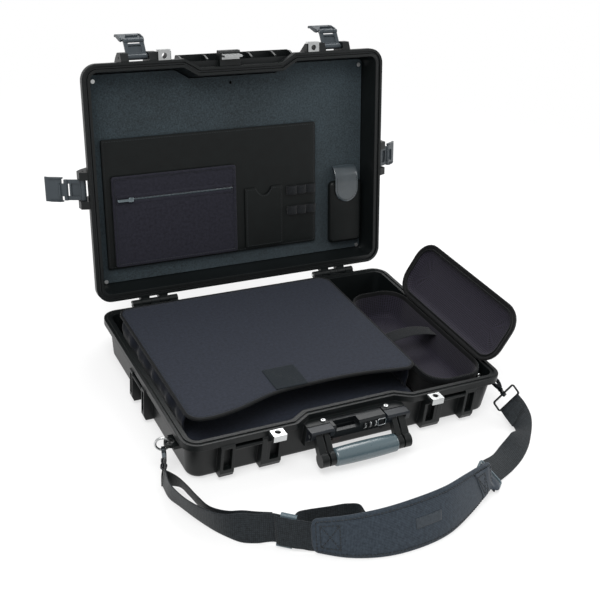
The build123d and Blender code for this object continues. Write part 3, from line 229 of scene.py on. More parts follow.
# ---------------------------------------------------------------- latches
# Each of the four latches is a link and a lever, moulded in glass filled nylon and hung on steel
# pins.  The fibres give the dark grey a satin skin with a faint glint.
latch_nylon = moulded("glass filled nylon satin", "#2b3034", "#454c51", grain_mm=1.2, gloss=(0.28, 0.42),
                      edge_mm=0.7, relief=0.12, metallic=0.2)
dress(latch_nylon, *[f"latch_{station}_{part}" for station in STATIONS for part in ("link", "lever")])

# ---------------------------------------------------------------- lid liner
# A flat panel faced with brushed slate cloth, screwed over the lid's inside at its four corners.
# The nap scatters the light into pale and dark specks.
def napped_cloth(name, dark, pale, speck_mm):
    """A brushed cloth: pale and dark specks of nap over a slow cloud of colour."""
    material = new_material(name)
    place = node(material, "TexCoord").outputs["Object"]
    specks = node(material, "TexNoise", {"Vector": place, "Scale": 1000 / speck_mm, "Detail": 2.0,
                                         "Roughness": 0.7})
    cloud = node(material, "TexNoise", {"Vector": place, "Scale": 9.0, "Detail": 2.0})
    both = node(material, "Math", {0: cloud, 1: 0.35, 2: specks}, operation="MULTIPLY_ADD")
    share = node(material, "MapRange", {"Value": both, "From Min": 0.45, "From Max": 0.9})
    return end_skin(material, share, dark, pale, {"Height": specks, "Strength": 0.5, "Distance": 0.0005},
                    {"Roughness": 0.85, "Sheen Weight": 0.2, "Specular IOR Level": 0.25})


# the specks are drawn at 2.4 mm, about twice their size, so that they show
dress(napped_cloth("polyester cloth brushed slate", "#161d20", "#2f3b41", speck_mm=2.4), "liner_panel")

# ---------------------------------------------------------------- folio pocket
# A large flat pocket for papers, of black vinyl with a leather grain.  Its edges are turned over and
# stitched, and the smaller pockets are sewn to its face.
OPEN_TURN = math.radians(101.7)                  # the lid's angle from closed
RIM_Z = 0.0665
HINGE_Y = 0.189
LID_AXES = np.array([(1, 0, 0), (0, math.cos(OPEN_TURN), -math.sin(OPEN_TURN)),
                     (0, math.sin(OPEN_TURN), math.cos(OPEN_TURN))])
LID_ORIGIN = np.array([0, HINGE_Y * (1 - math.cos(OPEN_TURN)), RIM_Z + HINGE_Y * math.sin(OPEN_TURN)])
TOWARDS_ROOM = -LID_AXES[2]                      # out of the liner
CORNER_STEPS = 8
SIDE_STEPS = 22


def in_lid(points):
    """Places of the closed case, with z up into the lid from its rim plane, carried to the open lid."""
    return np.asarray(points) @ LID_AXES + LID_ORIGIN


def piece(name, grids, body, material, wrap=(False, True), metres=None):
    """A surface through one grid of points or several alike, one quad between four neighbours.  A wrapped
    direction closes on itself.  The UV map counts metres along the grid, unless it is given.  A piece
    without a body is attached to none."""
    grids = np.asarray(grids, float)
    if grids.ndim == 3:
        grids = grids[None]
    count, rows, columns = grids.shape[:3]
    row = np.arange(rows if wrap[0] else rows - 1)
    column = np.arange(columns if wrap[1] else columns - 1)
    each, i, j = (a.ravel() for a in np.meshgrid(np.arange(count), row, column, indexing="ij"))
    near_i = np.stack([i, i, i + 1, i + 1], 1)
    near_j = np.stack([j, j + 1, j + 1, j], 1)
    index = (each[:, None] * rows + near_i % rows) * columns + near_j % columns
    if metres is None:
        down = np.linalg.norm(np.roll(grids, -1, 1) - grids, axis=3).mean((0, 2))
        across = np.linalg.norm(np.roll(grids, -1, 2) - grids, axis=3).mean((0, 1))
        down, across = (np.concatenate([[0], np.cumsum(a)]) for a in (down, across))
        metres = np.stack([across[near_j], down[near_i]], -1)
    else:
        metres = np.asarray(metres).reshape(-1, 2)[index]
    mesh = bpy.data.meshes.new(name)
    mesh.from_pydata(grids.reshape(-1, 3).tolist(), [], index.tolist())
    mesh.uv_layers.new(name="cloth").data.foreach_set("uv", metres.astype(np.float32).ravel())
    mesh.polygons.foreach_set("use_smooth", [True] * len(mesh.polygons))
    mesh.materials.append(material)
    shell = bmesh.new()
    shell.from_mesh(mesh)
    bmesh.ops.remove_doubles(shell, verts=shell.verts, dist=1e-6)
    bmesh.ops.recalc_face_normals(shell, faces=shell.faces)
    shell.to_mesh(mesh)
    shell.free()
    made = bpy.data.objects.new(name, mesh)
    bpy.context.scene.collection.objects.link(made)
    if body:
        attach(made, body)
    return made


def round_corners(box, radius, inset=0.0):
    """A rounded rectangle's closed outline: a quarter circle at each corner, and even steps between them."""
    x0, x1, y0, y1 = box[0] + inset, box[1] - inset, box[2] + inset, box[3] - inset
    radius = max(min(radius - inset, (x1 - x0) / 2, (y1 - y0) / 2), 1e-7)
    turn = np.linspace(0, np.pi / 2, CORNER_STEPS)[None] + np.arange(4)[:, None] * np.pi / 2
    middle = np.array([(x1 - radius, y1 - radius), (x0 + radius, y1 - radius), (x0 + radius, y0 + radius),
                       (x1 - radius, y0 + radius)])
    arcs = middle[:, None] + radius * np.stack([np.cos(turn), np.sin(turn)], -1)
    share = np.linspace(0, 1, SIDE_STEPS + 2)[1:-1, None]
    sides = arcs[:, -1:] + (np.roll(arcs, -1, 0)[:, :1] - arcs[:, -1:]) * share[None]
    return np.concatenate([arcs, sides], 1).reshape(-1, 2)


def outline_at(box, radius, inset, height):
    """A rounded rectangle's outline at one height."""
    ring = round_corners(box, radius, inset)
    return np.concatenate([ring, np.full((len(ring), 1), height)], 1)


def flat_pad(box, radius, back, front, roll, crown, rings=12):
    """A flat pad's closed surface, as rings: from the back's middle out to the edge, round the edge in half
    a circle, and in over the front.  The front swells by the crown times a cosine across it each way."""
    half = min(box[1] - box[0], box[3] - box[2]) / 2 - 1e-5
    turn = np.linspace(-np.pi / 2, np.pi / 2, 9)
    insets = np.concatenate([[half], roll * (1 - np.cos(turn)), np.linspace(roll, half, rings)[1:]])
    shares = np.concatenate([[0], (1 + np.sin(turn)) / 2, np.ones(rings - 1)])
    plan = np.stack([round_corners(box, radius, inset) for inset in insets])
    middle = np.array([(box[0] + box[1]) / 2, (box[2] + box[3]) / 2])
    size = np.array([box[1] - box[0], box[3] - box[2]])
    bell = np.clip(np.cos(np.pi * (plan - middle) / size), 0, 1).prod(2) ** 0.6
    height = back + (front - back + np.sign(front - back) * crown * bell) * shares[:, None]
    return np.concatenate([plan, height[..., None]], 2)


def leather(name, dark, pale, grain_mm, gloss, relief, shine=0.2):
    """Leather grain: rounded cells with fine furrows between them, over a cloud of colour."""
    material = new_material(name)
    place = node(material, "TexCoord").outputs["Object"]
    cells = node(material, "TexVoronoi", {"Vector": place, "Scale": 1000 / grain_mm, "Randomness": 0.9})
    cloud = node(material, "TexNoise", {"Vector": place, "Scale": 60.0, "Detail": 4.0})
    rough = node(material, "MapRange", {"Value": cells, "To Min": gloss[0], "To Max": gloss[1]})
    return end_skin(material, cloud, dark, pale, {"Height": cells, "Strength": relief, "Distance": 0.0003},
                    {"Roughness": rough, "Specular IOR Level": shine}, invert=True)


def lengths(path):
    """How far along a path each of its points is."""
    return np.concatenate([[0], np.cumsum(np.linalg.norm(np.diff(path, axis=0), axis=1))])


def unit(arrows):
    """Arrows of length one."""
    return arrows / np.linalg.norm(arrows, axis=-1, keepdims=True)


def at_lengths(at, far, points):
    """The points, or arrows, of a path at lengths along it."""
    return np.stack([np.interp(at, far, column) for column in points.T], 1)


def beads(path, up, pitch, length, thick, crosswise=False):
    """Stitches or teeth: at each pitch along a path a small bead, six sided, that swells over its length as
    an ellipse does.  It lies along the path, or across it."""
    far = lengths(path)
    count = max(int(far[-1] / pitch), 1)
    at = (np.arange(count) + 0.5) * far[-1] / count
    middle = at_lengths(at, far, path)
    way, normal = (unit(at_lengths(at, far, arrows))
                   for arrows in (np.gradient(path, axis=0), np.broadcast_to(up, path.shape)))
    side = unit(np.cross(way, normal))
    long, wide = (side, way) if crosswise else (way, side)
    share = np.array([-0.5, -0.42, 0, 0.42, 0.5])
    width = thick / 2 * np.sqrt(np.clip(1 - (2 * share) ** 2, 0, 1))
    turn = np.arange(6) * np.pi / 3
    ring = np.cos(turn)[:, None, None] * wide + np.sin(turn)[:, None, None] * normal
    return (middle[:, None, None] + long[:, None, None] * (share * length)[None, :, None, None]
            + width[None, :, None, None] * ring.transpose(1, 0, 2)[:, None])


def closed(ring):
    """A closed outline with its first point again at its end."""
    return np.concatenate([ring, ring[:1]])


def stitches(name, path, up, body, pitch=0.0042, length=0.0030, thick=0.0009):
    """A row of stitches in black thread along a path."""
    piece(name, beads(path, up, pitch, length, thick), body, black_thread)


def stitch_round(name, box, radius, inset, height, shape=np.array):
    """Stitches round a flat piece of the lid, inside its edge."""
    stitches(name, in_lid(shape(closed(outline_at(box, radius, inset, height)))), TOWARDS_ROOM, "lid")


# the grain is drawn at 1.6 mm, twice its size; it breaks the shine into small soft lights
vinyl = leather("vinyl leather grained", "#080a0a", "#101414", grain_mm=1.6, gloss=(0.34, 0.5), relief=0.3)
black_thread = moulded("polyester thread black", "#1d2022", "#2c3033", grain_mm=0.6, gloss=(0.5, 0.7),
                       edge_mm=0.1, relief=0.1)

FOLIO = (-0.222, 0.143, -0.065, 0.139)           # its box in the closed case: x and y
FOLIO_BACK, FOLIO_FRONT = 0.0347, 0.0306         # above the lid's rim plane
POCKET_R = 0.004
folio_surface = flat_pad(FOLIO, POCKET_R, FOLIO_BACK, FOLIO_FRONT, roll=0.0014, crown=0.0003)
folio = piece("folio_pocket_vinyl", in_lid(folio_surface), "lid", vinyl)
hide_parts("folio_pocket")
stitch_round("folio_stitches", FOLIO, POCKET_R, 0.0035, FOLIO_FRONT - 0.0001)

# ---------------------------------------------------------------- card pocket
# A small pocket of the same vinyl for cards, with a thumb hole cut into its mouth.  Its edges are
# turned and stitched down on the folio.
CARD_POCKET = (0.012, 0.080, 0.034, 0.134)
CARD_R = 0.003
CARD_BACK, CARD_FRONT = 0.0293, 0.0272
THUMB_R = 0.013


def thumb_cut(points):
    """The same surface with its top edge drawn down in a half circle round the middle of that edge."""
    points = np.array(points)
    x, y = points[..., 0] - (CARD_POCKET[0] + CARD_POCKET[1]) / 2, points[..., 1] - CARD_POCKET[2]
    dip = np.sqrt(np.clip(THUMB_R ** 2 - x ** 2, 0, None))
    depth = CARD_POCKET[3] - CARD_POCKET[2]
    points[..., 1] += dip * np.clip(1 - y / depth, 0, 1) ** 3
    return points


card_surface = thumb_cut(flat_pad(CARD_POCKET, CARD_R, CARD_BACK, CARD_FRONT, roll=0.0009, crown=0.0006))
card_pocket = piece("card_pocket_vinyl", in_lid(card_surface), "lid", vinyl)
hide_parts("card_pocket")
stitch_round("card_pocket_stitches", CARD_POCKET, CARD_R, 0.0032, CARD_FRONT - 0.0002, thumb_cut)

# ---------------------------------------------------------------- zip pocket
# A pocket of navy oxford nylon, an open weave with a purple cast, bound round its edge in the same
# cloth.  A glossy coil zip is sewn in near its top, its pale grey a painted highlight, with a diecast
# slider and pull in worn nickel.
ZIP_POCKET = (-0.210, -0.004, -0.008, 0.135)
ZIP_BACK, ZIP_FRONT = 0.0294, 0.0262
ZIP_X, ZIP_Y = (-0.2035, -0.0105), 0.029
SEAM_SINK, SEAM_HALF = 0.0011, 0.006             # how far the cloth sinks into the zip's seam
TAPE_SHIFT = 0.0048                              # from the zip's line to the middle of each tape

WAVE_SPAN = math.pi / 10                         # a Wave texture of scale 1 repeats itself after so much


def woven(name, dark, pale, thread_mm, rough, sheen, relief):
    """Plain woven cloth: two sine waves that cross at the thread's spacing, over a mottled cloud of
    colour, on the piece's own UV map in metres.  Fine threads are drawn two to three times as coarse
    as they are, so that the weave shows."""
    material = new_material(name)
    metres = node(material, "UVMap", uv_map="cloth").outputs["UV"]
    bands = {"Vector": metres, "Scale": WAVE_SPAN * 1000 / thread_mm, "Distortion": 0.6, "Detail": 1.0}
    warp = node(material, "TexWave", bands, bands_direction="X").outputs["Fac"]
    weft = node(material, "TexWave", bands, bands_direction="Y").outputs["Fac"]
    threads = node(material, "Math", {0: warp, 1: weft}, operation="MULTIPLY")
    mottle = node(material, "TexNoise", {"Vector": metres, "Scale": 220.0, "Detail": 4.0, "Roughness": 0.7})
    blend = node(material, "Math", {0: threads, 1: 0.45, 2: mottle}, operation="MULTIPLY_ADD")
    share = node(material, "MapRange", {"Value": blend, "From Min": 0.35, "From Max": 0.95})
    return end_skin(material, share, dark, pale, {"Height": threads, "Strength": relief, "Distance": 0.0004},
                    {"Roughness": rough, "Sheen Weight": sheen, "Sheen Roughness": 0.4,
                     "Specular IOR Level": 0.15})


nylon_navy = woven("nylon oxford navy", "#15151c", "#292933", thread_mm=1.8, rough=0.75, sheen=0.1,
                   relief=0.4)
nylon_tape = woven("nylon tape black", "#0b0c0d", "#16181a", thread_mm=1.2, rough=0.6, sheen=0.08,
                   relief=0.3)
plan = flat_pad(ZIP_POCKET, POCKET_R, ZIP_BACK, ZIP_FRONT, roll=0.0012, crown=0.0010)
on_front = plan[..., 2] < ZIP_FRONT + 0.001
plan[..., 2] += SEAM_SINK * np.exp(-((plan[..., 1] - ZIP_Y) / SEAM_HALF) ** 2) * on_front
zip_pocket = piece("zip_pocket_nylon", in_lid(plan), "lid", nylon_navy, metres=plan[..., :2])
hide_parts("zip_pocket")


def tube(path, up, radius, flat=1.0, sides=12, loop=True):
    """A round or flattened profile carried along a path.  Its width lies across the path and its thickness
    along up; an open tube closes to a point at both ends."""
    path = np.asarray(path, float)
    way = np.roll(path, -1, 0) - np.roll(path, 1, 0) if loop else np.gradient(path, axis=0)
    side = unit(np.cross(way, up))
    normal = unit(np.cross(side, way))
    size = np.full(len(path), radius)
    if not loop:
        path, side, normal = (np.concatenate([a[:1], a, a[-1:]]) for a in (path, side, normal))
        size = np.concatenate([[0], size, [0]])
    turn = np.linspace(0, 2 * np.pi, sides, endpoint=False)[:, None]
    return path[:, None] + size[:, None, None] * (np.cos(turn) * side[:, None]
                                                  + flat * np.sin(turn) * normal[:, None])


binding = tube(in_lid(outline_at(ZIP_POCKET, POCKET_R, 0.0024, ZIP_FRONT + 0.0002)), TOWARDS_ROOM, 0.0026,
               flat=0.4)
piece("zip_pocket_binding", binding, "lid", nylon_navy, wrap=(True, True))
stitch_round("zip_pocket_stitches", ZIP_POCKET, POCKET_R, 0.0042, ZIP_FRONT - 0.0012)


def zip_line(shift, height):
    """A line along the zip, beside it and at a height."""
    y = ZIP_Y + shift
    return in_lid(np.linspace((ZIP_X[0], y, height), (ZIP_X[1], y, height), 60))


for name, shift in (("upper", -TAPE_SHIFT), ("lower", TAPE_SHIFT)):
    tape = tube(zip_line(shift, ZIP_FRONT - 0.0004), TOWARDS_ROOM, 0.0030, flat=0.2, loop=False)
    piece(f"zip_{name}_tape", tape, "lid", nylon_navy)
# the coil's pale grey is a painted highlight along the zip line
coil_painted_highlight = moulded("nylon zip coil painted highlight", "#2e383d", "#47545a", grain_mm=0.4, gloss=(0.2, 0.3), edge_mm=0.1,
                    relief=0.05, shine=0.8)
coil = beads(zip_line(0, ZIP_FRONT), TOWARDS_ROOM, pitch=0.0022, length=0.0040, thick=0.0019, crosswise=True)
piece("zip_coil", coil, "lid", coil_painted_highlight)

nickel = moulded("zinc diecast nickel worn", "#5c666b", "#7c878c", grain_mm=0.8, gloss=(0.18, 0.3),
                 edge_mm=0.3, relief=0.05, metallic=0.9, ior=1.5)
PULL_X = ZIP_POCKET[0] + 0.020
slider_box = (PULL_X + 0.004, PULL_X + 0.0135, ZIP_Y - 0.0042, ZIP_Y + 0.0042)
slider = piece("zip_slider", in_lid(flat_pad(slider_box, 0.0022, 0.0253, 0.0219, roll=0.0012, crown=0.0004)),
               "zip_puller", nickel)
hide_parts("zip_pull")
tab_box = (PULL_X - 0.013, PULL_X + 0.006, ZIP_Y - 0.0024, ZIP_Y + 0.0024)
piece("zip_pull_tab", in_lid(flat_pad(tab_box, 0.0022, 0.0236, 0.0217, roll=0.0007, crown=0.0001)),
      "zip_puller", nickel)

# ---------------------------------------------------------------- pen loops
# Two rows of three loops of ribbed black elastic.  Each row is one band, sewn down between the
# loops on a backing tape.
PEN_LOOPS = (0.088, 0.141, 0.036, 0.088)
LOOP_PITCH = 0.0175
LOOP_W = 0.014
LOOP_FOOT, LOOP_RISE = 0.0288, 0.0046            # its height above the lid's rim plane, and its arch
ELASTIC_T = 0.0010
elastic = woven("elastic ribbed black", "#0f1012", "#1f2225", thread_mm=1.4, rough=0.7, sheen=0.12,
                relief=0.6)


def superellipse(steps, width_power, thick_power):
    """A flattened round profile: a full turn's cosine and sine, each raised to a power with its sign kept."""
    turn = np.linspace(0, 2 * np.pi, steps, endpoint=False)
    return [np.sign(a) * np.abs(a) ** power
            for a, power in ((np.cos(turn), width_power), (np.sin(turn), thick_power))]


def capped(rows):
    """Rows of points with a row drawn together to its middle before the first and after the last."""
    first, last = (np.broadcast_to(row.mean(1, keepdims=True), row.shape) for row in (rows[:1], rows[-1:]))
    return np.concatenate([first, rows, last])


def elastic_row(y):
    """One row: a band that arches three times, each over half a sine broadened by a power, closed round its
    own thickness."""
    run = np.linspace(0, 3, 91)
    height = LOOP_FOOT - LOOP_RISE * np.abs(np.sin(np.pi * run)) ** 0.6
    middle = np.stack([PEN_LOOPS[0] + 0.001 + run * LOOP_PITCH, np.full_like(run, y), height], 1)
    w, t = superellipse(16, 0.3, 0.7)
    lift = unit(np.cross(np.gradient(middle, axis=0), (0.0, 1.0, 0.0)))
    return capped(middle[:, None] + LOOP_W / 2 * w[None, :, None] * np.array([0, 1.0, 0])
                  + ELASTIC_T / 2 * t[None, :, None] * lift[:, None])


for number, y in enumerate((PEN_LOOPS[2] + 0.009, PEN_LOOPS[3] - 0.009), start=1):
    row = piece(f"pen_loop_row_{number}", in_lid(elastic_row(y)), "lid", elastic)
    backing = (PEN_LOOPS[0], PEN_LOOPS[1] + 0.0005, y - LOOP_W / 2, y + LOOP_W / 2)
    backing_surface = flat_pad(backing, 0.001, 0.0303, 0.0291, roll=0.0004, crown=0)
    piece(f"pen_loop_backing_{number}", in_lid(backing_surface), "lid", nylon_tape)
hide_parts("pen_loops")

# ---------------------------------------------------------------- phone holster
# A holster of black grained vinyl, formed to a soft box and stitched to the liner.  A strap of
# polished black leather folds over its mouth as the flap; its colour is painted a pale blue-grey
# as the reflection of one broad light.
HOLSTER = (0.167, 0.229, 0.038, 0.146)
HOLSTER_R = 0.008
HOLSTER_FRONT = 0.0222
HOLSTER_FLAP = (0.176, 0.220, 0.008, 0.074)
FLAP_T = 0.0020
# the black leather's colour is painted a pale blue-grey, a painted reflection over its real gloss
polished_painted_reflection = leather("leather black glossy with painted reflection", "#272e32", "#3a4348", grain_mm=1.4, gloss=(0.14, 0.24),
                   relief=0.06, shine=1.0)
holster = piece("holster_leather", in_lid(flat_pad(HOLSTER, HOLSTER_R, FOLIO_BACK, HOLSTER_FRONT, roll=0.0050,
                                                   crown=0.0012)), "lid", vinyl)
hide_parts("phone_holster")
stitch_round("holster_stitches", HOLSTER, HOLSTER_R, 0.0050, HOLSTER_FRONT + 0.0001)


def flap_surface():
    """The flap's strap: a profile path in y and z from the liner over the holster's mouth, carried across
    its width, which closes to a half round at the tip; the edges roll over in a superellipse."""
    bend = np.array([(0.0050, 0.0338), (0.0062, 0.0318), (0.0090, 0.0282), (0.0125, 0.0250),
                     (0.0165, 0.0224), (0.0215, 0.0206), (0.030, 0.0200), (0.045, 0.0199), (0.060, 0.0200),
                     (0.0735, 0.0203)])
    far = lengths(bend)
    at = np.linspace(0, far[-1], 80)
    y = np.minimum(HOLSTER_FLAP[2] + np.interp(at, far, bend[:, 0]), HOLSTER_FLAP[3])
    kernel = np.hanning(9) / np.hanning(9).sum()
    z = np.convolve(np.pad(np.interp(at, far, bend[:, 1]), 4, mode="edge"), kernel, "valid")
    half = (HOLSTER_FLAP[1] - HOLSTER_FLAP[0]) / 2
    left = np.clip(HOLSTER_FLAP[3] - y, 0, half)
    wide = np.maximum(np.sqrt(np.clip(half ** 2 - (half - left) ** 2, 0, None)), 1e-5)
    w, t = superellipse(28, 0.35, 0.8)
    way = unit(np.gradient(np.stack([y, z], 1), axis=0))
    rows = np.zeros((len(y), len(w), 3))
    rows[..., 0] = HOLSTER_FLAP[0] + half + wide[:, None] * w
    rows[..., 1] = y[:, None] + FLAP_T / 2 * t * way[:, 1:]
    rows[..., 2] = z[:, None] - FLAP_T / 2 * t * way[:, :1]
    return capped(rows)


flap = piece("holster_flap_leather", in_lid(flap_surface()), "holster_flap", polished_painted_reflection)
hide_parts("holster_flap")
# the flap is stitched up its sides and in a half circle round its tip
SEW_IN = 0.0035
SEW_START = HOLSTER_FLAP[2] + 0.024
sew_x, sew_half = (HOLSTER_FLAP[0] + HOLSTER_FLAP[1]) / 2, (HOLSTER_FLAP[1] - HOLSTER_FLAP[0]) / 2 - SEW_IN
turn = np.linspace(0, np.pi, 40)
arc = np.stack([sew_x + sew_half * np.cos(turn), HOLSTER_FLAP[3] - SEW_IN - sew_half * (1 - np.sin(turn)),
                np.full(40, 0.0190)], 1)
sew = np.concatenate([[(sew_x + sew_half, SEW_START, 0.0192)], arc, [(sew_x - sew_half, SEW_START, 0.0192)]])
stitches("holster_flap_stitches", in_lid(sew), TOWARDS_ROOM, "holster_flap")

# ---------------------------------------------------------------- base foam
# Two slabs of closed cell polyethylene foam line the bottom of the base, a low one under the pouch
# and a high one under the sleeve.  The cut cells leave them dull and a little rough.
foam = moulded("polyethylene foam cut", "#0f1011", "#1c1e20", grain_mm=1.6, gloss=(0.8, 0.95), edge_mm=0.5,
               relief=0.6)
FOAM_Y = (-0.146, 0.154)
FOAM_FOOT = 0.0067
for side, x0, x1, top in (("left", -0.232, 0.1303, 0.0283), ("right", 0.1308, 0.232, 0.0182)):
    piece(f"base_foam_{side}", flat_pad((x0, x1, *FOAM_Y), 0.009, FOAM_FOOT, top, roll=0.004,
                                                      crown=0), "base", foam)
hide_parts("base_foam")

# ---------------------------------------------------------------- sleeve
# A padded laptop sleeve: two foam-filled panels of dull charcoal nylon bound in black tape, joined by
# a folding gusset on three sides and open in front, where the top panel's edge is cut in a wave.
SLEEVE = (-0.233, 0.128, -0.148, 0.156)
SLEEVE_LOW, SLEEVE_HIGH = 0.029, 0.082
SLEEVE_R = 0.020
PANEL_T = 0.0050
PANEL_ROLL = 0.0022
# how far the top panel's front edge stands back, at shares of the width
FRONT_AT = (0.0, 0.10, 0.20, 0.36, 0.55, 0.79, 0.91, 1.0)
FRONT_BACK = (0.004, 0.001, 0.007, 0.024, 0.029, 0.026, 0.019, 0.015)
GUSSET_FOLD = 0.007
GUSSET_FRONT = SLEEVE[2] + 0.024
UP = np.array([0, 0, 1.0])


def smooth_between(at, places, values):
    """A smooth curve through values at places: cubic steps with the slopes of their neighbours."""
    places, values = np.asarray(places, float), np.asarray(values, float)
    slope = np.gradient(values, places, axis=0)
    k = np.clip(np.searchsorted(places, at, side="right") - 1, 0, len(places) - 2)
    step = places[k + 1] - places[k]
    s = (at - places[k]) / step
    shape = (len(s),) + (1,) * (values.ndim - 1)
    s, step = s.reshape(shape), step.reshape(shape)
    return ((2 * s ** 3 - 3 * s ** 2 + 1) * values[k] + (s ** 3 - 2 * s ** 2 + s) * step * slope[k]
            + (3 * s ** 2 - 2 * s ** 3) * values[k + 1] + (s ** 3 - s ** 2) * step * slope[k + 1])


def waved(points):
    """The same surface with its front drawn back along the wave, less and less towards the hinge."""
    points = np.array(points)
    share = (points[..., 0] - SLEEVE[0]) / (SLEEVE[1] - SLEEVE[0])
    back = smooth_between(np.clip(share, 0, 1).ravel(), FRONT_AT, FRONT_BACK).reshape(share.shape)
    far = (points[..., 1] - SLEEVE[2]) / (SLEEVE[3] - SLEEVE[2])
    points[..., 1] += back * np.clip(1 - far, 0, 1) ** 2
    return points


sleeve_nylon = woven("nylon cloth charcoal", "#181b22", "#2a2f3b", thread_mm=1.6, rough=0.72, sheen=0.15,
                     relief=0.3)
top_panel = waved(flat_pad(SLEEVE, SLEEVE_R, SLEEVE_HIGH - PANEL_T, SLEEVE_HIGH - 0.0006, PANEL_ROLL,
                           crown=0.0008, rings=20))
sleeve_top = piece("sleeve_top_panel", top_panel, "sleeve", sleeve_nylon, metres=top_panel[..., :2])
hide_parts("sleeve_body")
low_panel = flat_pad(SLEEVE, SLEEVE_R, SLEEVE_LOW, SLEEVE_LOW + PANEL_T, PANEL_ROLL, crown=0)
sleeve_low = piece("sleeve_bottom_panel", low_panel, "sleeve", sleeve_nylon, metres=low_panel[..., :2])


def gusset():
    """The gusset's cloth: the outline's three closed sides carried from panel to panel, drawn in by half a
    sine over its height that a cosine weakens in the middle, and rippled along its length."""
    ring = np.roll(round_corners(SLEEVE, SLEEVE_R, 0.003), -CORNER_STEPS - SIDE_STEPS, 0)
    keep = ring[ring[:, 1] > GUSSET_FRONT]
    start = np.argmax(np.linalg.norm(np.diff(closed(keep), axis=0), axis=1)) + 1
    path = np.roll(keep, -start, 0)
    far = lengths(path)
    at = np.linspace(0, far[-1], 260)
    path = at_lengths(at, far, path)
    way = unit(np.gradient(path, axis=0))
    inward = np.stack([-way[:, 1], way[:, 0]], 1)
    high = np.linspace(0, 1, 15)[:, None]
    ripple = 0.0016 * np.sin(at * 2 * np.pi / 0.052) + 0.0009 * np.sin(at * 2 * np.pi / 0.031 + 1.0)
    pull = np.sin(np.pi * high) * (GUSSET_FOLD * (0.55 + 0.45 * np.cos(2 * np.pi * high)) + ripple)
    rows = np.zeros((len(high), len(path), 3))
    rows[..., :2] = path[None] + pull[..., None] * inward[None]
    rows[..., 2] = SLEEVE_LOW + PANEL_T * 0.7 + high * (SLEEVE_HIGH - SLEEVE_LOW - PANEL_T * 1.4)
    return rows


def thicken(cloth, thickness):
    """Gives a single surface its cloth's thickness, half of it to each side."""
    wall = cloth.modifiers.new("cloth_thickness", "SOLIDIFY")
    wall.thickness, wall.offset = thickness, 0


gusset_points = gusset()
sleeve_gusset = piece("sleeve_gusset", gusset_points, "sleeve", sleeve_nylon, wrap=(False, False))
thicken(sleeve_gusset, 0.0016)
for name, height, bend in (("top", SLEEVE_HIGH - PANEL_T / 2 - 0.0002, waved),
                           ("bottom", SLEEVE_LOW + PANEL_T / 2, np.array)):
    edge_line = bend(outline_at(SLEEVE, SLEEVE_R, PANEL_ROLL, height))
    piece(f"sleeve_{name}_binding", tube(edge_line, UP, 0.0026, flat=0.98), "sleeve", nylon_tape,
          wrap=(True, True))
sleeve_sew = waved(closed(outline_at(SLEEVE, SLEEVE_R, 0.0062, SLEEVE_HIGH - 0.0004)))
stitches("sleeve_stitches", sleeve_sew, UP, "sleeve", pitch=0.0045)

# the patch of hook-and-loop velour for a name tab is left bare
PATCH = (-0.0955, -0.0455, -0.119, -0.069)
velour = woven("hook and loop velour", "#161a1e", "#1e252a", thread_mm=1.0, rough=0.95, sheen=0.15,
               relief=0.3)
patch = piece("sleeve_patch_velour", flat_pad(PATCH, 0.002, SLEEVE_HIGH - 0.0002, SLEEVE_HIGH + 0.0009,
                                              roll=0.0005, crown=0), "sleeve", velour)
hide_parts("sleeve_patch")

# ---------------------------------------------------------------- accessory pouch
# A pouch moulded in cloth-faced EVA foam, with a zip round its rim and a knitted mesh lining.  Its
# lid is a second moulding, hinged along the right side on a strip of cloth.
POUCH = (0.1365, 0.235, -0.161, 0.102)
POUCH_R = 0.034
POUCH_RIM = 0.0688
POUCH_FLOOR = POUCH_RIM - 0.050
POUCH_WALL = 0.0026
POUCH_COIL = {"pitch": 0.0021, "length": 0.0026, "thick": 0.0018, "crosswise": True}
POUCH_TURN = math.radians(118.0)                 # the pouch lid's angle from closed
POUCH_HINGE = np.array([0.234, 0.0, 0.0702])
POUCH_AXES = np.array([(math.cos(POUCH_TURN), 0, -math.sin(POUCH_TURN)), (0, 1, 0),
                       (math.sin(POUCH_TURN), 0, math.cos(POUCH_TURN))])
POUCH_LID = (-0.0975, 0.0, POUCH[2], POUCH[3])   # counted from the hinge line


def bowl(box, radius, levels):
    """Rings of a rounded rectangle, one for each level's inset and height."""
    return np.stack([outline_at(box, radius, inset, height) for inset, height in levels])


def mesh_cloth(name, thread, hole, pitch_mm):
    """Knitted mesh: a regular net of round holes over a darker ground, with the ribs between them raised."""
    material = new_material(name)
    metres = node(material, "UVMap", uv_map="cloth").outputs["UV"]
    net = node(material, "TexVoronoi", {"Vector": metres, "Scale": 1000 / pitch_mm, "Randomness": 0.12},
               voronoi_dimensions="2D")
    rib = node(material, "MapRange", {"Value": net, "From Min": 0.28, "From Max": 0.42})
    return end_skin(material, rib, hole, thread, {"Height": rib, "Strength": 0.5, "Distance": 0.0004},
                    {"Roughness": 0.7, "Sheen Weight": 0.12, "Specular IOR Level": 0.15})


eva = woven("EVA foam cloth faced black", "#0b0b0c", "#171819", thread_mm=1.5, rough=0.7, sheen=0.1,
            relief=0.3)
# the net is drawn at 3 mm, half again its size, so that it shows
lining_mesh = mesh_cloth("polyester mesh knitted", "#2a2733", "#0f0e13", pitch_mm=3.0)
zip_coil = moulded("nylon zip coil black", "#15171a", "#2a2e33", grain_mm=0.4, gloss=(0.25, 0.4), edge_mm=0.1,
                   relief=0.05)

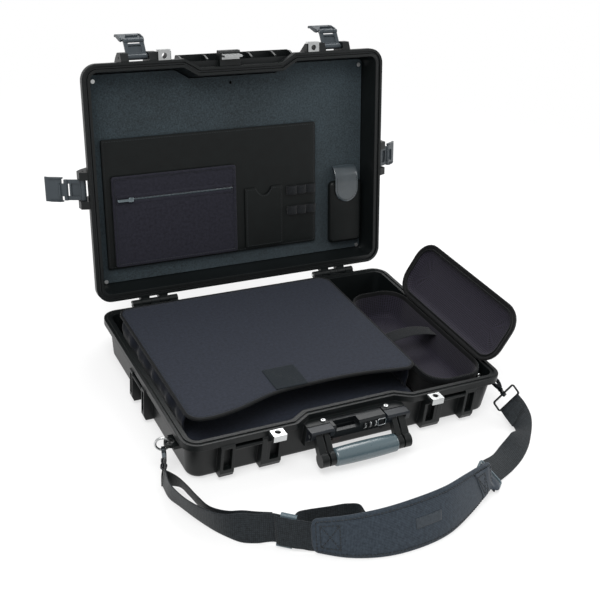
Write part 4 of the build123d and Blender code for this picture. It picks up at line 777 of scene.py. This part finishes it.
half_pouch = (POUCH[1] - POUCH[0]) / 2 - 1e-5
shell_levels = [
    (half_pouch, POUCH_FLOOR), (0.030, POUCH_FLOOR), (0.0105, POUCH_FLOOR), (0.0070, POUCH_FLOOR + 0.0007),
    (0.0045, POUCH_FLOOR + 0.0026), (0.0034, POUCH_FLOOR + 0.0060), (0.0030, POUCH_FLOOR + 0.012),
    (0.0016, POUCH_FLOOR + 0.030), (0.0007, POUCH_RIM - 0.010), (0.0004, POUCH_RIM - 0.0012),
    (0.0010, POUCH_RIM - 0.0002), (POUCH_WALL - 0.0006, POUCH_RIM), (POUCH_WALL, POUCH_RIM - 0.0010),
    (POUCH_WALL + 0.0002, POUCH_RIM - 0.012), (POUCH_WALL + 0.0030, POUCH_FLOOR + 0.012),
    (POUCH_WALL + 0.0050, POUCH_FLOOR + 0.0055), (POUCH_WALL + 0.010, POUCH_FLOOR + POUCH_WALL),
    (half_pouch, POUCH_FLOOR + POUCH_WALL)]
pouch = piece("pouch_shell", bowl(POUCH, POUCH_R, shell_levels), "pouch", eva)
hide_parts("pouch_body")
lining_levels = [
    (POUCH_WALL + 0.0003, POUCH_RIM - 0.007), (POUCH_WALL + 0.0006, POUCH_RIM - 0.013),
    (POUCH_WALL + 0.0034, POUCH_FLOOR + 0.0125), (POUCH_WALL + 0.0055, POUCH_FLOOR + 0.0062),
    (POUCH_WALL + 0.0105, POUCH_FLOOR + POUCH_WALL + 0.0004), (half_pouch, POUCH_FLOOR + POUCH_WALL + 0.0004)]
piece("pouch_lining", bowl(POUCH, POUCH_R, lining_levels), "pouch", lining_mesh)
piece("pouch_zip_tape", tube(outline_at(POUCH, POUCH_R, 0.0006, POUCH_RIM - 0.0062), UP, 0.0009, flat=5.0),
      "pouch", nylon_tape, wrap=(True, True))
coil_line = closed(outline_at(POUCH, POUCH_R, 0.0011, POUCH_RIM - 0.0012))
piece("pouch_zip_coil", beads(coil_line, UP, **POUCH_COIL), "pouch", zip_coil)


def in_pouch_lid(points):
    """Places of the closed pouch, counted from its hinge line, carried to the open pouch lid."""
    return np.asarray(points) @ POUCH_AXES + POUCH_HINGE


half_lid = (POUCH_LID[1] - POUCH_LID[0]) / 2 - 1e-5
dome_levels = [
    (half_lid, 0.0122), (0.030, 0.0122), (0.014, 0.0120), (0.0095, 0.0110), (0.0055, 0.0088),
    (0.0025, 0.0055), (0.0009, 0.0020), (0.0006, -0.0002), (0.0016, -0.0008), (0.0030, -0.0008),
    (0.0042, -0.0004), (0.0086, 0.0018), (0.0100, 0.0040), (0.0140, 0.0075), (0.0190, 0.0090),
    (half_lid, 0.0092)]
cover = piece("pouch_cover_shell", in_pouch_lid(bowl(POUCH_LID, POUCH_R, dome_levels)), "pouch_cover", eva)
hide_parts("pouch_lid")
ceiling_levels = [(0.0092, 0.0020), (0.0104, 0.0038), (0.0143, 0.0071), (0.0192, 0.0086), (half_lid, 0.0088)]
piece("pouch_cover_lining", in_pouch_lid(bowl(POUCH_LID, POUCH_R, ceiling_levels)), "pouch_cover",
      lining_mesh)
LID_UP = POUCH_AXES[2]
piping = tube(in_pouch_lid(outline_at(POUCH_LID, POUCH_R, 0.0088, 0.0012)), LID_UP, 0.0014)
piece("pouch_cover_piping", piping, "pouch_cover", nylon_tape, wrap=(True, True))
coil_line = in_pouch_lid(closed(outline_at(POUCH_LID, POUCH_R, 0.0018, 0.0012)))
piece("pouch_cover_zip_coil", beads(coil_line, LID_UP, **POUCH_COIL), "pouch_cover", zip_coil)


def hinge_cloth():
    """The strip of cloth outside the hinge: up the pouch's wall, round the hinge line and on along the open
    lid, as a smooth curve carried along the hinge."""
    y = np.linspace(POUCH[2] + POUCH_R, POUCH[3] - POUCH_R, 60)
    high = in_pouch_lid((0, 0, 0.009))[[0, 2]] + (0.0006, 0)
    bend = np.array([(0.2354, POUCH_RIM - 0.010), (0.2357, POUCH_RIM - 0.004), (0.2360, POUCH_RIM + 0.0005),
                     high])
    far = lengths(bend)
    path = smooth_between(np.linspace(0, far[-1], 24), far, bend)
    rows = np.zeros((len(path), len(y), 3))
    rows[..., 0], rows[..., 1], rows[..., 2] = path[:, :1], y[None], path[:, 1:]
    return rows


strip = hinge_cloth()
pouch_hinge = piece("pouch_hinge_cloth", strip, None, nylon_tape, wrap=(False, False))
thicken(pouch_hinge, 0.0009)
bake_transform(pouch_hinge)
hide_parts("pouch_hinge")


def band_edges(stations, count):
    """A band's two edges as smooth curves through its stations."""
    low, high = (np.array([s[k] for s in stations], float) for k in (0, 1))
    far = lengths((low + high) / 2)
    at = np.linspace(0, far[-1], count)
    return smooth_between(at, far, low), smooth_between(at, far, high)


def band(stations, count=120, thick=0.0017):
    """A woven band: a flat superellipse carried between its two edges, closed to a line at both ends."""
    low, high = band_edges(stations, count)
    middle, cross = (low + high) / 2, high - low
    normal = unit(np.cross(cross, np.gradient(middle, axis=0)))
    w, t = superellipse(20, 0.4, 0.5)
    flat = middle[:, None] + 0.5 * w[None, :, None] * cross[:, None]
    rings = flat + thick / 2 * t[None, :, None] * normal[:, None]
    return np.concatenate([flat[:1], rings, flat[-1:]])


# an elastic band across the pouch holds leads down; it is sewn in at both walls
BAND_Y, BAND_W = -0.018, 0.025
BAND_ENDS, BAND_RISE = POUCH_RIM - 0.0148, 0.008
band_mid, band_span = (POUCH[0] + POUCH[1]) / 2, POUCH[1] - POUCH[0] - 2 * POUCH_WALL - 0.003
arch = [[(band_mid + x * band_span / 2, BAND_Y + side * BAND_W / 2, BAND_ENDS + BAND_RISE * (1 - x * x))
         for side in (-1, 1)] for x in np.linspace(-1, 1, 7)]
pouch_band = piece("pouch_band_elastic", band(arch, count=50, thick=0.0014), "pouch", elastic)
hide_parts("pouch_band")

# ---------------------------------------------------------------- handle
# The grip is a hard rubber tube over the frame's bar, blue-grey and glossy from a polished mould.
# The two brackets that carry the frame are moulded in dark slate nylon.
grip_rubber = moulded("rubber moulded glossy", "#3c4b51", "#48595f", grain_mm=2.0, gloss=(0.24, 0.34),
                      edge_mm=0.8, relief=0.02, shine=1.0)
dress(grip_rubber, "handle_grip")
bracket_nylon = moulded("nylon moulded dark slate", "#121519", "#1b2026", grain_mm=0.8, gloss=(0.28, 0.4),
                        edge_mm=0.8, relief=0.1)
dress(bracket_nylon, "handle_brackets")

# ---------------------------------------------------------------- combination lock
# A satin black ABS housing with three wheels and a slide in a bright chromed frame.  The wheels'
# figures are white enamel.  Below the lock sits the purge valve, moulded in brown-black ABS.
lock_black = moulded("ABS moulded satin", "#101214", "#181b1d", grain_mm=0.9, gloss=(0.26, 0.38), edge_mm=0.6,
                     relief=0.08)
dress(lock_black, "lock_housing", "lock_dial_1", "lock_dial_2", "lock_dial_3", "lock_slide")
valve_plastic = moulded("ABS moulded brown-black", "#241816", "#2e201d", grain_mm=0.9, gloss=(0.3, 0.42),
                        edge_mm=0.5, relief=0.08)
dress(valve_plastic, "purge_valve")
white_ink = moulded("enamel white filled", "#d8dcdc", "#e6e9e9", grain_mm=0.5, gloss=(0.4, 0.5), edge_mm=0.05,
                    relief=0.02)
chrome = moulded("zinc diecast chromed", "#c9cdd0", "#d6dadc", grain_mm=2.0, gloss=(0.06, 0.12), edge_mm=0.1,
                 relief=0.01, metallic=1.0, ior=1.5)

DIALS_X = (0.0085, 0.0168, 0.0251)
DIAL_R = 0.0080
DIAL_Y, DIAL_Z = -0.1858, RIM_Z - 0.020
FIGURE_H, FIGURE_HALF_T = 0.0036, 0.00012
FIGURE_STEP, FIGURE_TURN = 36, 20                # degrees between figures, and of the one that is set
SLIDE_BOX = (0.0292, 0.0417, DIAL_Z - 0.0052, DIAL_Z + 0.0052)
SLIDE_Y = -0.1922


def figure_mesh(figure):
    """A numeral as points and faces, a quarter of a millimetre thick, centred on its place."""
    text = bpy.data.curves.new(f"figure_{figure}", "FONT")
    text.body, text.size, text.extrude = str(figure), FIGURE_H * 1.4, FIGURE_HALF_T
    text.align_x, text.align_y = "CENTER", "CENTER"
    text.resolution_u = 4
    holder = bpy.data.objects.new(f"figure_{figure}", text)
    bpy.context.scene.collection.objects.link(holder)
    bpy.context.view_layer.update()
    flat = bpy.data.meshes.new_from_object(holder.evaluated_get(bpy.context.evaluated_depsgraph_get()))
    points = np.array([v.co for v in flat.vertices])
    faces = [tuple(p.vertices) for p in flat.polygons]
    bpy.data.objects.remove(holder)
    points[:, :2] -= (points[:, :2].max(0) + points[:, :2].min(0)) / 2
    return points, faces


figures = [figure_mesh(k) for k in range(10)]
for number, x in enumerate(DIALS_X, start=1):
    points, faces, first = [], [], 0
    for k, (flat, sides) in enumerate(figures):
        # each numeral is bent round the wheel: its height turns to an angle
        turn = math.radians(FIGURE_TURN + FIGURE_STEP * (k - number)) + flat[:, 1] / DIAL_R
        out = DIAL_R + 0.00005 + flat[:, 2]
        points.append(np.stack([x + flat[:, 0], DIAL_Y - out * np.cos(turn), DIAL_Z + out * np.sin(turn)], 1))
        faces += [tuple(v + first for v in side) for side in sides]
        first += len(flat)
    ink = bpy.data.meshes.new(f"dial_{number}_figures")
    ink.from_pydata(np.concatenate(points).tolist(), [], faces)
    ink.materials.append(white_ink)
    ring = bpy.data.objects.new(f"dial_{number}_figures", ink)
    bpy.context.scene.collection.objects.link(ring)
    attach(ring, f"dial_{number}")

slide_frame = outline_at(SLIDE_BOX, 0.0015, 0, SLIDE_Y)[:, [0, 2, 1]]
piece("lock_slide_frame", tube(slide_frame, np.array([0, -1.0, 0]), 0.0008, flat=0.8), "base", chrome,
      wrap=(True, True))

# ---------------------------------------------------------------- strap fittings
# The snap hooks are diecast zinc, dark and mirror-like in their black nickel.  The adjusters are the
# same zinc under a glossy slate lacquer, and the loops are moulded in satin black acetal.
black_metal = moulded("zinc diecast black nickel", "#1c1f21", "#2b2f32", grain_mm=0.8, gloss=(0.2, 0.34),
                      edge_mm=0.3, relief=0.05, metallic=0.85, ior=1.5)
dress(black_metal, "snap_hook_left", "snap_hook_right")
lacquered = moulded("zinc diecast slate lacquered", "#46535a", "#54636a", grain_mm=0.8, gloss=(0.24, 0.36),
                    edge_mm=0.6, relief=0.04)
dress(lacquered, "adjuster_left", "adjuster_right")
acetal = moulded("acetal moulded black", "#101213", "#191c1e", grain_mm=0.8, gloss=(0.26, 0.4), edge_mm=0.6,
                 relief=0.06)
dress(acetal, "strap_loop_left", "strap_loop_right")

# ---------------------------------------------------------------- shoulder strap
# Nylon webbing 38 mm wide in a ribbed twill.  It lies on its edge on the floor in front of the case
# and is held by the loops and adjusters.  At the left loop it comes back on itself.
webbing_nylon = woven("nylon webbing ribbed", "#111416", "#2b3034", thread_mm=2.4, rough=0.62, sheen=0.12,
                      relief=0.6)
WEBBING_W = 0.038
half_web = WEBBING_W / 2
TRIGLIDE_LOW, TRIGLIDE_HIGH = np.array([-0.172, -0.32485, 0.004]), np.array([-0.172, -0.31135, 0.0395])
TRIGLIDE_WAY = unit(np.array([0.024, -0.0191, 0]))
TRIGLIDE_FRONT = unit(np.cross(TRIGLIDE_WAY, TRIGLIDE_HIGH - TRIGLIDE_LOW))


def at_triglide(along, out):
    """The webbing's edges at a distance along the tri-glide from its middle, and in front of it."""
    shift = TRIGLIDE_WAY * along + TRIGLIDE_FRONT * out
    return TRIGLIDE_LOW + shift, TRIGLIDE_HIGH + shift


def in_mm(*stations):
    """Stations, or one station's points, that are given in millimetres."""
    return np.array(stations) / 1000


# Each run is a list of stations: a point of its lower edge and one of its upper edge.
LEFT_LOOP = in_mm((-276, -166, 3.7), (-277.6, -177.9, 39.7))
# the run from the case goes through the tri-glide's slot
LEFT_OUTER = [LEFT_LOOP, *in_mm(
    [(-275, -190, 1.0), (-280, -203, 37)], [(-268, -209, 1.0), (-276, -222, 36)],
    [(-256, -241, 1.0), (-263, -252, 36)], [(-237, -278, 1.0), (-239, -281, 38.8)],
    [(-223, -296, 1.0), (-220, -284, 37)], [(-206, -305, 1.0), (-202, -292, 36.6)]),
    at_triglide(-0.016, -0.0010), at_triglide(-0.008, -0.00095), at_triglide(0.009, -0.00095)]
# the strand to the pad comes out of the slot, folds round the tri-glide's first bar and lies over its face
LEFT_FRONT = [
    at_triglide(-0.006, 0.00095), at_triglide(-0.0105, 0.0010), at_triglide(-0.0133, 0.0032),
    at_triglide(-0.0105, 0.0054), at_triglide(0, 0.0054), at_triglide(0.0105, 0.0054),
    at_triglide(0.019, 0.0034), *in_mm(
        [(-150, -343.3, 3), (-148.5, -328.7, 37.5)], [(-140, -350, 5), (-138.5, -335.4, 38)])]
# the second strand at the loop runs inside the first and leans on it
LEFT_INNER = [LEFT_LOOP, *in_mm(
    [(-265, -170, 3.5), (-272.5, -183.5, 38.1)], [(-257, -176.5, 4.5), (-267.4, -192, 37.3)],
    [(-251.2, -196.5, 4.5), (-262, -211, 37.3)], [(-246.5, -220, 3.0), (-257, -235, 36.6)],
    [(-242, -252, 1.0), (-249, -261, 37.0)], [(-231, -276, 1.0), (-232, -277, 38.5)],
    [(-219, -291.5, 1.0), (-216, -280, 36.8)], [(-204.5, -301, 1.5), (-200.5, -288.2, 36.8)],
    [(-184, -312.8, 4.0), (-184, -299.3, 39.5)])]
# the loose end goes on behind the pad
LEFT_TAIL = [at_triglide(0.0095, -0.0009), *in_mm(
    [(-157, -321, 2), (-154, -309.5, 38.9)], [(-143, -316, 1), (-141, -309.3, 38.4)],
    [(-127, -317.5, 1), (-127, -311.5, 38.5)], [(-111, -320, 1), (-111, -314.1, 38.5)],
    [(-88, -322.5, 1), (-88, -317.7, 38.6)], [(-76, -328, 1), (-75, -324, 38.6)],
    [(-74, -341, 1), (-75, -339, 38.7)])]

RIGHT_LOOP, RIGHT_BAR = np.array([0.256, -0.1978, 0.0294]), np.array([0.476, -0.245, 0.843])
# the right adjuster: the middle of its first bar, the bar's direction and the way to the pad
BUCKLE_AT = np.array([0.1445, -0.3085, 0.0158])
BUCKLE_BAR, BUCKLE_WAY = np.array([-0.526, 0.579, 0.632]), np.array([-0.767, -0.639, -0.05])
BUCKLE_FRONT = unit(np.cross(BUCKLE_BAR, BUCKLE_WAY))
near_bar = BUCKLE_AT - BUCKLE_WAY * 0.0011
RIGHT_RUN = [(RIGHT_LOOP - RIGHT_BAR * half_web, RIGHT_LOOP + RIGHT_BAR * half_web), *in_mm(
    [(246, -211, 10), (281.4, -202.6, 27)], [(247, -227, 7), (290, -209.2, 11)],
    [(223, -248, 17), (258, -254, 1.0)], [(194, -263, 13), (223, -284, 1.0)],
    [(166, -282, 19), (190, -303, 1.0)]),
    (near_bar + BUCKLE_BAR * half_web, near_bar - BUCKLE_BAR * half_web)]
# the end sewn back over the loop stands a little off the run
RIGHT_END = [RIGHT_RUN[0], *in_mm(
    [(244, -212.6, 12), (270, -200, 34)], [(243.6, -227.4, 9), (270.9, -210.6, 25)])]

for name, stations, count, held, holder in (("left_outer", LEFT_OUTER, 120, "laid", "strap_loop_left"),
                                            ("left_front", LEFT_FRONT, 160, "stretched", "adjuster_left"),
                                            ("left_inner", LEFT_INNER, 120, "laid", "strap_loop_left"),
                                            ("left_tail", LEFT_TAIL, 120, "laid", "adjuster_left"),
                                            ("right_nylon", RIGHT_RUN, 120, "laid", "adjuster_right"),
                                            ("right_end", RIGHT_END, 60, "laid", "strap_loop_right")):
    piece(f"webbing_{name}", band(stations, count=count), "base", webbing_nylon)
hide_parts("webbing_left")
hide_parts("webbing_right")

# ---------------------------------------------------------------- shoulder pad
# A curved pad of foam between two faces of slate ballistic nylon, sewn through at its edge.  The
# webbing is sewn on at its left end, and a sewn tab holds the right adjuster.
PAD_ROUTE = np.array([(-0.148, -0.345), (-0.112, -0.369), (-0.068, -0.384), (-0.020, -0.387),
                      (0.028, -0.380), (0.072, -0.362), (0.112, -0.341), (0.132, -0.330)])
PAD_LEAN = np.array([0.04, 0.42, 1.0])
PAD_LENGTH = 0.32
PAD_T = 0.0088
PAD_CORNER = 0.008
pad_nylon = woven("ballistic nylon slate", "#21272e", "#3b444d", thread_mm=1.8, rough=0.72, sheen=0.15,
                  relief=0.4)


def pad_place(along, height, out):
    """A point of the pad: along its curved foot, up its leaning face, and out of that face to the front."""
    far = lengths(PAD_ROUTE)
    share = np.ravel(along)
    foot = smooth_between(share * far[-1], far, PAD_ROUTE).reshape(np.shape(along) + (2,))
    after, before = (smooth_between(np.clip(share + step, 0, 1) * far[-1], far, PAD_ROUTE)
                     for step in (1e-3, -1e-3))
    way = unit(after - before).reshape(foot.shape)
    face = np.stack([way[..., 1], -way[..., 0], np.zeros(way.shape[:-1])], -1)
    face = unit(face - PAD_LEAN * (face @ PAD_LEAN)[..., None] / (PAD_LEAN @ PAD_LEAN))
    ground = np.concatenate([foot, np.zeros(foot.shape[:-1] + (1,))], -1)
    return ground + np.asarray(height)[..., None] * PAD_LEAN + np.asarray(out)[..., None] * face


def pad_edges(along):
    """The heights of the pad's lower and upper edge: level in the middle, drawn in to both ends, with
    quarter-round corners at the ends."""
    middle = np.clip(np.abs(along - 0.5) * 2, 0, 1)
    top = 0.0615 - 0.0215 * middle ** 2
    low = 0.0008 + np.where(along < 0.5, 0.0008, 0.0062) * middle ** 3
    near = np.clip(1 - np.minimum(along, 1 - along) * PAD_LENGTH / PAD_CORNER, 0, 1)
    draw = PAD_CORNER * (1 - np.sqrt(1 - near ** 2))
    return low + draw, top - draw


def pad_surface():
    """The pad's closed form: a lens profile between the edges, thin at its sewn rim, crowned over most of
    its width, and thinned to both ends."""
    along = np.linspace(0.0, 1.0, 150)
    low, high = pad_edges(along)
    across, through = superellipse(56, 0.75, 0.3)
    w = 0.5 * (1 + across)
    rim = np.clip(1 - np.abs(2 * w - 1) ** 7, 0, 1)
    end = np.clip(np.minimum(along, 1 - along) / 0.03, 0, 1) ** 0.5
    thick = PAD_T / 2 * (0.36 + 0.64 * rim[None]) * (0.42 + 0.58 * end[:, None])
    height = low[:, None] + (high - low)[:, None] * w[None]
    return capped(pad_place(np.broadcast_to(along[:, None], height.shape), height, thick * through))


pad = piece("shoulder_pad_nylon", pad_surface(), "base", pad_nylon)
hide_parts("shoulder_pad")


def pad_line(along, height_share, out):
    """A line on the pad's front face at shares of its height."""
    low, high = pad_edges(along)
    return pad_place(along, low + (high - low) * height_share, np.full(along.shape, out))


def pad_stitches(name, along, height_share, out):
    """Coarse stitches through the pad along a line given by shares of its length and height."""
    line = pad_line(along, height_share, out)
    front = pad_line(along, height_share, out + 0.001) - line
    stitches(name, line, front, "base", pitch=0.005, length=0.0042, thick=0.0015)


rim_ends, rim_heights = (0.022, 0.978), (0.92, 0.08)
rim_along, rim_turn = np.linspace(*rim_ends, 160), np.linspace(*rim_heights, 20)
pad_stitches("shoulder_pad_rim_stitches",
             np.concatenate([rim_along, np.full(18, rim_ends[1]), rim_along[::-1], np.full(19, rim_ends[0])]),
             np.concatenate([np.full(160, rim_heights[0]), rim_turn[1:-1], np.full(160, rim_heights[1]),
                             rim_turn[::-1][1:]]), 0.0040)
# the boxes with a cross that hold the webbing, one at each end
BOX_HEIGHTS = (0.2, 0.2, 0.8, 0.8, 0.2, 0.8, 0.2, 0.8)
at = np.linspace(0, 7, 141)
for name, low, high, out in (("left", (0.04, 0.12), (0.04, 0.12), 0.0045),
                             ("right", (0.935, 0.902), (0.905, 0.838), 0.0062)):
    corners = (low[0], low[1], high[1], high[0], low[0], high[1], low[1], high[0])
    pad_stitches(f"shoulder_pad_{name}_box_stitches", np.interp(at, np.arange(8), corners),
                 np.interp(at, np.arange(8), BOX_HEIGHTS), out)

# a woven label without any print is sewn to the middle of the pad
LABEL = (0.44, 0.57, 0.42, 0.62)                 # shares of the pad's length and height
label_grey = woven("woven label grey", "#2e3338", "#42484e", thread_mm=1.0, rough=0.7, sheen=0.1, relief=0.3)
label_grid = np.stack([pad_line(np.linspace(*LABEL[:2], 24), share, 0.0047)
                       for share in np.linspace(*LABEL[2:], 8)])
label = piece("shoulder_pad_label", label_grid, "base", label_grey, wrap=(False, False))
thicken(label, 0.0007)


def at_buckle(along, out):
    """The tab's edges at a distance from the adjuster's first bar towards the pad, and in front of it."""
    middle = BUCKLE_AT + BUCKLE_WAY * along + BUCKLE_FRONT * out
    return middle - BUCKLE_BAR * half_web, middle + BUCKLE_BAR * half_web


# the tab's fold fills the adjuster's window; its front end lies slanted on the pad's face
TAB = [at_buckle(0.022, -0.0030), at_buckle(0.012, -0.0026), at_buckle(0.0048, 0.0002),
       at_buckle(0.012, 0.0030), at_buckle(0.022, 0.0042)]
TAB += [[pad_line(np.array([along]), share, 0.0052)[0] for along, share in ((low, 0.09), (high, 0.91))]
        for low, high in ((0.965, 0.945), (0.93, 0.885), (0.895, 0.82))]
pad_tab = piece("shoulder_pad_tab", band(TAB, count=110), "base", pad_nylon)
